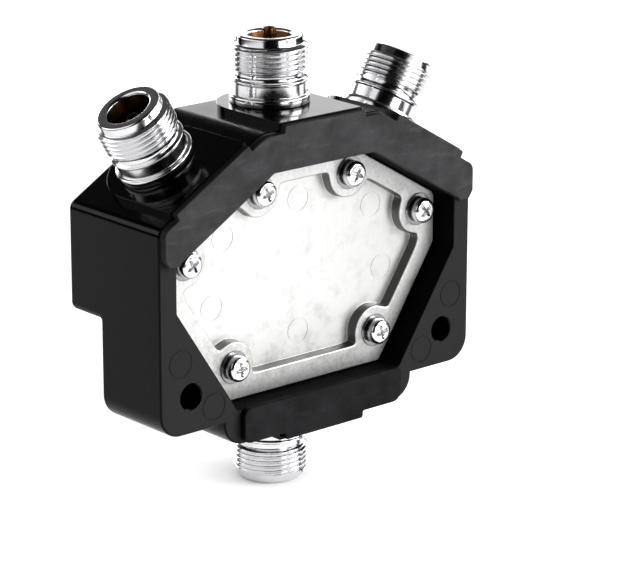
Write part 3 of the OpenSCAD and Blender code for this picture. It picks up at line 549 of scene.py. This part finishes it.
# Slots for the collars, mounting holes with a pocket for the screw's head, mould marks and the bushing's hole
for name in PORTS:
    points, faces = slot_prism(COLLAR_NECK + 0.4, -10.5, 2.0)
    combine(case, (at_port(points, name), faces))
for side in (1, -1):
    hole = turned([(2.6, -20), (2.6, 5.75), (2.85, 6.0), (2.85, 8.0)], 64)
    combine(case, (at_depth(hole[0], side * MOUNT[0], MOUNT[1], REAR - 6.0), hole[1]))
    pocket = turned([(5.0, -0.5), (5.0, 0.0), (4.6, 0.4), (4.6, 12.6)], 64)
    combine(case, (at_depth(pocket[0], side * MOUNT[0], MOUNT[1], EAR_Y), pocket[1]))
    for x, h in ((36.7, 15.2), (28.3, 4.5)):
        ring = turned([(2.73, -0.13), (2.73, 0.3), (2.9, 0.3), (2.9, -0.13)], 48, closed=True)
        combine(case, (at_depth(ring[0], side * x, h, REAR), ring[1]))
bush_hole = turned([(4.6, -2), (4.6, 5)], 64)
combine(case, (at_depth(bush_hole[0], 0, PIVOT_H, FRONT), bush_hole[1]))
finished(case, case_abs, "housing", ["outer_case"])
centres = of_faces(case, "center") / MM - (0, 0, FOOT)
corners = np.array(opening(-0.1))
edges = np.roll(corners, -1, 0) - corners
side = edges[:, 0] * (centres[:, 2:] - corners[:, 1]) - edges[:, 1] * (centres[:, :1] - corners[:, 0])
within = (side > 0).all(1) & (centres[:, 1] > FRONT + 1) & (centres[:, 1] < REAR - 0.05)
second_finish(case, dull_abs, within)

# Collars: lip round the port, neck down to the switch body, hole for the port's shank
for name in PORTS:
    low = -(RIM_TOP + PLATE_GAP) if name != "common" else -(DROP + OPEN_LOW + PLATE_GAP)
    lip = slot_prism(22.0, 0.0, COLLAR_T, 0.15)
    collar = body_of(name + "_port_collar", (at_port(lip[0], name), lip[1]))
    neck = slot_prism(COLLAR_NECK, low + PLATE_GAP, 0.4)
    combine(collar, (at_port(neck[0], name), neck[1]), "UNION")
    shank = turned([(5.65, low - 2), (5.65, COLLAR_T + 1)], 64)
    combine(collar, (at_port(shank[0], name), shank[1]))
    finished(collar, collar_abs, "housing", [name + "_collar"])
    ends = at_port(np.array([(0.0, 0.0, 0.0), (0.0, 0.0, 1.0)]), name)
    second_finish(collar, dull_abs, of_faces(collar, "normal") @ (ends[0] - ends[1]) > 0.5)

# Port shells: a turned profile of radius and height with small rounded edges, and a helical thread
PITCH = 1.058
THREAD = (8.1, 13.8)


def port_shell(name, seed):
    """Radius as a function of height and angle: the turned profile, and on the thread's land a V groove. Its
    depth follows the height over the pitch less the angle over a full turn, and a cone cuts it off at either
    end."""
    low = (-(RIM_TOP + PLATE_GAP) if name != "common" else -(DROP + OPEN_LOW + PLATE_GAP)) - 4.0
    top = COLLAR_T + PORT_LEN
    outer = [(4.05, low), (5.6, low), (5.6, 1.5), (8.1, 1.5), (8.27, 1.56), (8.35, 1.72), (8.35, 3.0),
             (8.28, 3.22), (8.1, 3.34), (7.8, 3.4), (7.66, 3.46), (7.6, 3.62), (7.6, 5.75), (7.66, 5.95),
             (7.86, 6.1), (7.9, 6.22), (7.9, 6.42), (7.82, 6.54), (7.25, 6.78), (7.15, 6.9), (7.15, 7.95),
             (7.2, 8.05)]
    heights = np.linspace(THREAD[0], THREAD[1], 92)
    rim = [(6.85, 13.86), (6.8, 13.95), (6.8, top - 0.45), (6.72, top - 0.25), (6.5, top - 0.06), (6.3, top),
           (5.05, top), (4.92, top - 0.04), (4.62, top - 0.34), (4.55, top - 0.5), (4.55, top - 3.2),
           (4.3, top - 3.5), (4.3, top - 9.6), (4.05, top - 9.6)]
    count = 192
    a = np.linspace(0, 2 * math.pi, count, endpoint=False)
    phase = (heights[:, None] - THREAD[0]) / PITCH - a[None, :] / (2 * math.pi) + seed
    wave = np.abs(2 * (phase - np.floor(phase)) - 1)
    crest = np.clip((wave - 0.1) / 0.78, 0, 1)
    crest = crest * crest * (3 - 2 * crest) * 0.35 + crest * 0.65
    cut = 7.9375 - 0.62 * (1 - crest)
    ends = np.minimum(7.2 + (heights - THREAD[0]) * 1.2, 6.95 + (THREAD[1] - heights) * 2.6)
    cut = np.minimum(cut, ends[:, None])
    rows = [np.full(count, r) for r, z in outer] + list(cut) + [np.full(count, r) for r, z in rim]
    z = np.array([z for r, z in outer] + heights.tolist() + [z for r, z in rim])
    r = np.array(rows)
    rings = np.stack([r * np.cos(a), r * np.sin(a), np.repeat(z[:, None], count, 1)], -1)
    rings = np.concatenate([rings, rings[:1]])
    points, faces = loft(rings, False, False)
    obj = body_of(name + "_threaded_port", (at_port(points, name), faces))
    finished(obj, port_nickel, "housing", [name + "_port_shell"], 50.0)
    start, line = at_port(np.array([(0.0, 0.0, top - 0.5), (0.0, 0.0, top)]), name)
    line = (line - start) / np.linalg.norm(line - start)
    gap = of_faces(obj, "center") / MM - start
    along = gap @ line
    away = np.linalg.norm(gap - along[:, None] * line, axis=1)
    second_finish(obj, bore_brass, (along < -0.01) & (away < 4.6))


for seed, name in enumerate(PORTS):
    port_shell(name, 0.17 + 0.31 * seed)


# Contact sockets: four spring fingers with rounded tips on a shoulder, and a tail into the body
def contact(name):
    """Revolved tail and shoulder, and four fingers: each is a closed section swept over 80 degrees."""
    top = COLLAR_T + PORT_LEN
    base = top - 9.6
    tip = top + 1.2 if name == "top" else top - 2.3
    tails = {"left": -21.6, "right": -21.6, "top": -16.0, "common": -16.2}
    low = tails[name]
    stem = [(0.0, low), (1.2, low), (1.2, base), (1.4, base), (1.4, tip - 5.0), (0.0, tip - 5.0)]
    root = turned(stem, 48)
    parts = [root]
    section = np.array([(0.85, tip - 5.2), (1.4, tip - 5.2), (1.4, tip - 0.35), (1.3, tip - 0.1), (1.12, tip),
                        (0.98, tip - 0.05), (0.85, tip - 0.3)])
    for k in range(4):
        a = np.radians(np.linspace(k * 90 + 5, k * 90 + 85, 13))
        r = section[None, :, 0]
        rings = np.stack([r * np.cos(a)[:, None], r * np.sin(a)[:, None],
                          np.repeat(section[None, :, 1], len(a), 0)], -1)
        parts.append(loft(rings))
    points, faces = joined(parts)
    obj = body_of(name + "_contact_socket", (at_port(points, name), faces))
    finished(obj, gold, "housing", [name + "_contact_pin"])


for name in PORTS:
    contact(name)

# Cover plate
PLATE = opening(PLATE_GAP, UPPER_GAP, LOWER_GAP)
RIM_W, RIM_FOOT_W = 3.75, 4.4
PLATE_R = [1.0, 1.6, 1.6, 1.6, 1.6, 1.6, 1.6, 1.0]


def inner_loop(level, count=720):
    """Loop round the middle where the distance to the raised rim equals level. The rim is the band inside the
    plate's outline. Round seats at the screws are blended into it, and each ray from the middle stops where
    the blended distance falls to level."""
    poly = np.array(opening(PLATE_GAP + RIM_W, UPPER_GAP + RIM_W, LOWER_GAP + RIM_FOOT_W))
    edge = np.roll(poly, -1, 0) - poly
    edge /= np.linalg.norm(edge, axis=1, keepdims=True)
    inward = np.stack([-edge[:, 1], edge[:, 0]], 1)
    middle = np.array([0.0, 26.0])
    a = np.linspace(0, 2 * math.pi, count, endpoint=False)
    ray = np.stack([np.cos(a), np.sin(a)], 1)
    near, far = np.full(count, 1.0), np.full(count, 60.0)
    seats = np.array(SCREWS)

    def distance(r):
        p = middle + ray * r[:, None]
        walls = ((p[:, None, :] - poly[None]) * inward[None]).sum(-1)
        rounds = np.linalg.norm(p[:, None, :] - seats[None], axis=-1) - 4.9
        k = 1.1
        return -np.log(np.exp(-walls / (0.5 * k)).sum(1) + np.exp(-rounds / (0.5 * k)).sum(1)) * 0.5 * k

    for _ in range(40):
        mid = (near + far) / 2
        inside = distance(mid) > level
        near, far = np.where(inside, mid, near), np.where(inside, far, mid)
    return middle + ray * near[:, None]


def even_outline(corners, radii, inset, count=720, middle=(0.0, 26.0)):
    """The rounded outline read off along rays from the middle, so that it pairs with the inner loop."""
    loop = outline(corners, radii, inset, 12)
    rel = loop - np.array(middle)
    ang = np.unwrap(np.arctan2(rel[:, 1], rel[:, 0]))
    ang = np.append(ang, ang[0] + 2 * math.pi)
    rel = np.vstack([rel, rel[:1]])
    want = np.linspace(0, 2 * math.pi, count, endpoint=False)
    want = ang[0] + np.mod(want - ang[0], 2 * math.pi)
    k = np.clip(np.searchsorted(ang, want, side="right") - 1, 0, len(rel) - 2)
    p, q = rel[k], rel[k + 1]
    d = np.stack([np.cos(want), np.sin(want)], 1)
    cross = d[:, 0] * (q - p)[:, 1] - d[:, 1] * (q - p)[:, 0]
    t = (p[:, 0] * (q - p)[:, 1] - p[:, 1] * (q - p)[:, 0]) / cross
    return np.array(middle) + d * t[:, None]


rings = []
for inset, depth in [(0.0, 0.0), (0.0, 2.0)]:
    rings.append(standing(even_outline(PLATE, PLATE_R, inset), COVER_Y + depth))
for inset, depth in reversed(rounding(0.3)):
    rings.append(standing(even_outline(PLATE, PLATE_R, inset), RIM_Y - depth))
for k, (out, depth) in enumerate(rounding(0.35)):
    rings.append(standing(inner_loop(0.35 - out), RIM_Y - depth))
rings.append(standing(inner_loop(0.5), FLOOR_Y + 0.16))
rings.append(standing(inner_loop(0.54), FLOOR_Y + 0.05))
rings.append(standing(inner_loop(0.62), FLOOR_Y))
cover = body_of("cast_cover_plate", loft(rings))
for x, h in ((20.0, 36.4), (-20.0, 36.4), (23.0, 22.3), (-23.0, 22.3), (0.0, 41.2), (0.0, 12.9)):
    ring = turned([(2.62, -0.07), (2.62, 0.3), (2.78, 0.3), (2.78, -0.07)], 48, closed=True)
    combine(cover, (at_depth(ring[0], x, h, FLOOR_Y), ring[1]))
for x, h in SCREWS:
    hole = turned([(1.75, -6), (1.75, 1)], 32)
    combine(cover, (at_depth(hole[0], x, h, RIM_Y), hole[1]))
finished(cover, cover_zinc, "housing", ["body_cover"], 40.0)


# Cover screws: pan heads with a cross recess, each turned as its own driver left it
def screw(angle):
    """Head height over a polar grid: flat pan with a rounded shoulder, less the cross recess, whose depth
    falls from the centre along two tapering arms."""
    count, rows = 96, 26
    r = np.linspace(1, 0, rows)[:, None] ** 0.9 * 2.75
    a = np.linspace(0, 2 * math.pi, count, endpoint=False)[None, :]
    t = np.clip((r - 1.75) / 1.0, 0, 1)
    crown = 1.9 - 0.08 * (r / 2.75) ** 2 - 0.95 * (1 - np.sqrt(np.clip(1 - t ** 2.2, 0, 1)))
    x, y = r * np.cos(a - angle), r * np.sin(a - angle)
    arm = np.minimum(np.abs(x), np.abs(y))
    along = np.maximum(np.abs(x), np.abs(y))
    wide = 0.42 - 0.12 * np.clip(along / 1.6, 0, 1)
    depth = np.clip((wide - arm) / 0.12, 0, 1) * np.clip((1.62 - along) / 0.9, 0, 1) * 1.25
    z = crown - depth
    top = np.stack([r * np.cos(a), r * np.sin(a), z], -1)
    lower = [(2.75, 0.45), (2.7, 0.14), (2.5, 0.0), (1.5, 0.0), (1.5, -9.6), (1.1, -10.0)]
    skirt = np.stack([np.stack([q * np.cos(a[0]), q * np.sin(a[0]), np.full(count, h)], -1)
                      for q, h in reversed(lower)])
    rings = np.concatenate([skirt, top])
    return loft(rings)


def washer(angle):
    """Spring washer: a square section swept round most of a turn, its two ends apart and slightly offset."""
    a = np.radians(np.linspace(8, 352, 60)) + angle
    rise = np.linspace(-0.05, 0.05, 60)
    section = np.array([(1.66, 0.33), (1.7, 0.3), (2.55, 0.3), (2.6, 0.35), (2.6, 0.72), (2.53, 0.77),
                        (1.72, 0.77), (1.66, 0.72)])
    rings = np.stack([section[None, :, 0] * np.cos(a)[:, None], section[None, :, 0] * np.sin(a)[:, None],
                      np.clip(section[None, :, 1] + rise[:, None], 0.28, 0.8)], -1)
    return loft(rings)


FLAT_WASHER = [(1.66, 0.02), (1.68, 0.0), (3.42, 0.0), (3.5, 0.06), (3.5, 0.2), (3.42, 0.28), (1.7, 0.28),
               (1.66, 0.25)]
HEAD_TURNS = (20, 32, 8, 64, 41, 15)
WASHER_TURNS = (200, 150, 120, 230, 170, 100)
heads, rings, plates = [], [], []
for k, (x, h) in enumerate(SCREWS):
    points, faces = turned(FLAT_WASHER, 64, closed=True)
    plates.append((at_depth(points, x, h, RIM_Y), faces))
    points, faces = screw(math.radians(HEAD_TURNS[k]))
    heads.append((at_depth(points, x, h, RIM_Y + 0.8), faces))
    points, faces = washer(math.radians(WASHER_TURNS[k]))
    rings.append((at_depth(points, x, h, RIM_Y), faces))
screws = body_of("pan_head_screws", joined(heads))
finished(screws, screw_nickel, "housing", ["cover_screws"], 45.0)
washers = body_of("spring_washers", joined(rings))
finished(washers, spring_steel, "housing", ["cover_spring_washers"])
flats = body_of("flat_washers", joined(plates))
finished(flats, washer_steel, "housing", ["cover_spring_washers"])

# Upper pad: arch along the case's edge, stepping out over each collar's lip
INSET = 0.4
BEND = INSET * math.tan(SLOPE / 2)
half = [(HALF_W - RIM_SIDE + 0.05, 35.9), (40.3, 35.9), (HALF_W - INSET, 37.5),
        (HALF_W - INSET, SIDE_H - BEND),
        facet_point(FACET / 2 - 10.7, -INSET), facet_point(FACET / 2 - 10.7, 1.1),
        facet_point(FACET / 2 + 10.7, 1.1), facet_point(FACET / 2 + 10.7, -INSET),
        (CROWN_X - BEND, TOP_H - INSET), (10.8, TOP_H - INSET), (10.7, TOP_H + 1.1)]
edge = opening(-0.05)
arch = half + [(-x, h) for x, h in reversed(half)] + [edge[5], edge[4], edge[3], edge[2]]
arch_r = [0.0, 0.4, 0.4, 2.1, 0.3, 0.5, 0.5, 0.3, 5.6, 0.3, 0.5]
arch_r = arch_r + arch_r[::-1] + [0.0, 0.8, 0.8, 0.0]
upper_pad = body_of("upper_rubber_pad", prism(arch, arch_r, REAR, REAR + PAD_T, 0.0, 0.28, 5))
finished(upper_pad, upper_rubber, "housing", ["upper_wall_pad"])

# Lower pad: strip across the foot, stepping down over the common port's collar
strip = [(21.45, -4.9), (21.45, 2.5), (-21.45, 2.5), (-21.45, -4.9)]
strip += [(-10.6, -4.9), (-10.6, -6.4), (10.6, -6.4), (10.6, -4.9)]
strip_r = [1.6, 1.6, 1.2, 2.4, 0.4, 0.6, 0.6, 0.4]
lower_pad = body_of("lower_rubber_pad", prism(strip, strip_r, REAR, REAR + PAD_T, 0.0, 0.28, 5))
finished(lower_pad, lower_rubber, "housing", ["lower_wall_pad"])

# Knob: skirt with rounded edges, tapering grip bar that flares into it, groove for the pointer, and bores
KNOB_FRONT = -31.3
KNOB_BASE = -14.3
SKIRT_Y = -20.7
NUT_ROOM_Y = -19.3
SHAFT_END_Y = -29.3
SET_SCREW_Y = -24.25


def grip_loop(half_w, half_l, y, steps=32):
    """Two half circles of radius half_w joined by straight sides, each end half_l from the middle."""
    a = np.linspace(0, math.pi, steps + 1)
    upper = np.stack([half_w * np.cos(a), half_l - half_w + half_w * np.sin(a)], 1)
    return standing(np.concatenate([upper, -upper]) + (0, PIVOT_H), y)


profile = [(0.0, SKIRT_Y)]
profile += [(11.5 + 1.3 * math.sin(t), SKIRT_Y + 1.3 * (1 - math.cos(t))) for t in np.linspace(0, 1.36, 8)]
profile += [(13.92, KNOB_BASE - 0.55), (13.98, KNOB_BASE - 0.3), (13.9, KNOB_BASE - 0.08), (13.7, KNOB_BASE)]
profile += [(0.0, KNOB_BASE)]
knob = turned(profile, 128)
knob = body_of("pointer_knob", (at_depth(knob[0], 0, PIVOT_H, 0.0), knob[1]))
rings = [grip_loop(4.5, 12.8, SKIRT_Y + 1.5)]
for flare, depth in rounding(0.8, 6):
    rings.append(grip_loop(4.45 + flare * 0.9, 12.3 + flare / 2, SKIRT_Y - depth))
for inset, depth in reversed(rounding(1.3, 6)):
    rings.append(grip_loop(3.95 - inset, 12.25 - inset, KNOB_FRONT + depth))
combine(knob, loft(rings), "UNION")
for radius, end in ((8.4, NUT_ROOM_Y), (3.03, SHAFT_END_Y)):
    bore = turned([(radius, end), (radius, KNOB_BASE + 1.3)], 64)
    combine(knob, (at_depth(bore[0], 0, PIVOT_H, 0.0), bore[1]))
bore = turned([(1.53, -15.0), (1.53, -2.5)], 48)
combine(knob, (bore[0] + (0, SET_SCREW_Y, PIVOT_H + FOOT), bore[1]))
groove = [(-0.75, 23.5), (0.75, 23.5), (0.75, 32.6), (-0.75, 32.6)]
combine(knob, prism(groove, [0.3] * 4, KNOB_FRONT - 1.0, KNOB_FRONT + 0.5, 0.0, 0.0, 3))
finished(knob, knob_abs, "selector", ["knob"])

# Exact solids that stay, with their finishes
kept = {
    "switch_body": body_zinc, "shaft_bushing": brass, "bushing_washer": washer_steel,
    "bushing_nut": screw_nickel, "detent_plate": steel, "shaft": steel, "shaft_clip": steel, "rotor": nylon,
    "wiper_blade": silver, "fixed_contacts": silver, "common_finger": silver, "rotor_washer": washer_steel,
    "rotor_screw": screw_nickel, "detent_ball": steel, "detent_spring": steel, "knob_pointer": white_fill,
    "knob_set_screw": black_steel, "left_insulator": ptfe, "top_insulator": ptfe, "right_insulator": ptfe,
    "common_insulator": ptfe,
}
for name, finish in kept.items():
    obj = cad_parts[name]
    obj.data.materials.clear()
    obj.data.materials.append(finish)

# Light levels: the paper's own glow to the camera, the dark room and the even fill. PHOTOGRAPHER is the level
# direction to the dark side of the studio, and GAPS those to two dark gaps
PAPER_GLOW = 0.85
ROOM = 0.01
FILL = 0.12
PHOTOGRAPHER = (0.454, 0.891, 0)
GAPS = ((0.326, -0.946, 0), (-0.857, 0.515, 0))


def reach_along(tree, way, vector):
    """How far a vector reaches the given way: their dot product."""
    n = node(tree, "ShaderNodeVectorMath", {"operation": "DOT_PRODUCT"}, {1: way}, {0: vector})
    return n.outputs["Value"]


def gaps(tree, flat):
    """1 all round but for two narrow dark gaps between the white parts of the studio. The direction is level
    and of unit length."""
    result = 1.0
    for way in GAPS:
        result = times(tree, result, spread(tree, reach_along(tree, way, flat), 0.982, 0.996, 1.0, 0.05))
    return result


# Floor and surroundings: white paper that keeps the shadow, in a dark room. Mirror-like surfaces see the lit
# paper and, beside and behind it, a white backdrop that is brightest straight behind the object. They see the
# room above, the room on the photographer's side and the gaps as dark
def lit_share(tree, place):
    """Part of the paper that is lit, as mirrors see it: 1 round the object, 0 in the gaps, past the paper's
    straight front edge on the photographer's side, and far out."""
    far = node(tree, "ShaderNodeVectorMath", {"operation": "LENGTH"}, links={0: place})
    front = spread(tree, reach_along(tree, PHOTOGRAPHER, place), 0.25, 0.28, 1.0, 0.0)
    flat = node(tree, "ShaderNodeVectorMath", {"operation": "NORMALIZE"}, links={0: place}).outputs["Vector"]
    outer = times(tree, spread(tree, far.outputs["Value"], 0.42, 0.56, 1.0, 0.0), gaps(tree, flat))
    return times(tree, front, outer)


floor_mesh = bpy.data.meshes.new("paper_floor")
floor_mesh.from_pydata([(-6, -6, 0), (6, -6, 0), (6, 6, 0), (-6, 6, 0)], [], [(0, 1, 2, 3)])
floor = bpy.data.objects.new("paper_floor", floor_mesh)
scene.collection.objects.link(floor)
paper = bpy.data.materials.new("white_paper")
paper.use_nodes = True
tree = paper.node_tree
tree.nodes.clear()
path = node(tree, "ShaderNodeLightPath")
matte = node(tree, "ShaderNodeBsdfDiffuse", values={"Color": linear("#f4f4f4")})
glow = node(tree, "ShaderNodeEmission", values={"Color": (1, 1, 1, 1)})
seen = total(tree, path.outputs["Is Camera Ray"], path.outputs["Is Glossy Ray"], True)
seen = total(tree, seen, path.outputs["Is Transmission Ray"], True)
# The glow falls off close under the object, which keeps its contact shadow
near = node(tree, "ShaderNodeAmbientOcclusion", {"samples": 8}, {"Distance": 0.011}).outputs["AO"]
open_sky = spread(tree, near, 0.3, 0.98, 0.1, PAPER_GLOW)
tree.links.new(times(tree, seen, open_sky), glow.inputs["Strength"])
both = node(tree, "ShaderNodeAddShader", links={0: matte.outputs[0], 1: glow.outputs[0]})
room = node(tree, "ShaderNodeEmission", values={"Color": (1, 1, 1, 1), "Strength": ROOM})
aim = node(tree, "ShaderNodeTexCoord")
lit = lit_share(tree, aim.outputs["Object"])
dark = times(tree, spread(tree, lit, 0.0, 1.0, 1.0, 0.0), path.outputs["Is Glossy Ray"])
final = node(tree, "ShaderNodeMixShader", links={0: dark, 1: both.outputs[0], 2: room.outputs[0]})
node(tree, "ShaderNodeOutputMaterial", links={"Surface": final.outputs[0]})
floor_mesh.materials.append(paper)

world = bpy.data.worlds.new("studio")
scene.world = world
world.use_nodes = True
tree = world.node_tree
tree.nodes.clear()
path = node(tree, "ShaderNodeLightPath")
seen = total(tree, path.outputs["Is Camera Ray"], path.outputs["Is Transmission Ray"], True)
plain = node(tree, "ShaderNodeBackground", values={"Color": (1, 1, 1, 1), "Strength": FILL})
white = node(tree, "ShaderNodeBackground", values={"Color": (1, 1, 1, 1), "Strength": 1.0})
aim = node(tree, "ShaderNodeTexCoord")
height = node(tree, "ShaderNodeSeparateXYZ", links={0: aim.outputs["Generated"]}).outputs["Z"]
flat = node(tree, "ShaderNodeVectorMath", {"operation": "MULTIPLY"}, {1: (1, 1, 0)},
            {0: aim.outputs["Generated"]}).outputs["Vector"]
flat = node(tree, "ShaderNodeVectorMath", {"operation": "NORMALIZE"}, links={0: flat}).outputs["Vector"]
toward = reach_along(tree, PHOTOGRAPHER, flat)
front = times(tree, spread(tree, toward, 0.79, 0.85, 1.0, 0.0), gaps(tree, flat))
reach = spread(tree, toward, -0.7, -0.1, 0.42, 0.8)
over = node(tree, "ShaderNodeMath", {"operation": "SUBTRACT"}, links={0: height, 1: reach})
top = spread(tree, over.outputs[0], -0.12, 0.0, 1.0, 3 * ROOM)
foot = spread(tree, height, 0.1, 0.16, ROOM, 1.0)
gain = spread(tree, toward, -0.35, 0.0, 2.7, 1.0)
mirror = node(tree, "ShaderNodeBackground", values={"Color": (1, 1, 1, 1)},
              links={"Strength": times(tree, times(tree, top, foot), times(tree, front, gain))})
first = node(tree, "ShaderNodeMixShader", links={0: path.outputs["Is Glossy Ray"], 1: plain.outputs[0],
                                                 2: mirror.outputs[0]})
second = node(tree, "ShaderNodeMixShader", links={0: seen, 1: first.outputs[0], 2: white.outputs[0]})
node(tree, "ShaderNodeOutputWorld", links={"Surface": second.outputs[0]})


def softbox(name, place, size, power, aim_at=(0, 0, 0.05)):
    """Square area lamp at place, facing aim_at."""
    lamp = bpy.data.lights.new(name, "AREA")
    lamp.shape = "RECTANGLE"
    lamp.size, lamp.size_y = size
    lamp.energy = power
    obj = bpy.data.objects.new(name, lamp)
    scene.collection.objects.link(obj)
    obj.location = place
    obj.rotation_euler = (Vector(aim_at) - Vector(place)).to_track_quat("-Z", "Y").to_euler()
    return obj


# The lamp on the knob side gives light there and adds no highlight
softbox("key", (-0.8, 0.8, 0.5), (0.7, 0.7), 12.0)
softbox("front", (-0.1, 1.3, 0.2), (0.5, 0.5), 3.0)
knob_side = softbox("knob_side", (-0.3, -1.2, 0.22), (0.8, 0.5), 6.0)
knob_side.data.specular_factor = 0.0

# Camera, fitted to the photograph: 634 by 583 pixels
cam_data = bpy.data.cameras.new("camera")
cam_data.sensor_fit = "HORIZONTAL"
cam_data.sensor_width = 36.0
cam_data.lens = 3006.1 / 634 * 36.0
cam = bpy.data.objects.new("camera", cam_data)
scene.collection.objects.link(cam)
yaw, pitch, roll = math.radians(41.074), math.radians(16.999), math.radians(0.113)
back = Vector((math.sin(yaw) * math.cos(pitch), math.cos(yaw) * math.cos(pitch), math.sin(pitch)))
across = Vector((0, 0, 1)).cross(back).normalized()
upward = back.cross(across)
right = across * math.cos(roll) + upward * math.sin(roll)
above = upward * math.cos(roll) - across * math.sin(roll)
place = back * 624.194 - right * 0.662 + above * 29.911 + Vector((0, 16.0, 12.66))
cam.matrix_world = Matrix([(right.x, above.x, back.x, place.x * MM), (right.y, above.y, back.y, place.y * MM),
                           (right.z, above.z, back.z, place.z * MM), (0, 0, 0, 1)])
cam_data.clip_start, cam_data.clip_end = 0.01, 30.0
cam_data.dof.use_dof = False
scene.camera = cam

scene.view_settings.view_transform = "Standard"
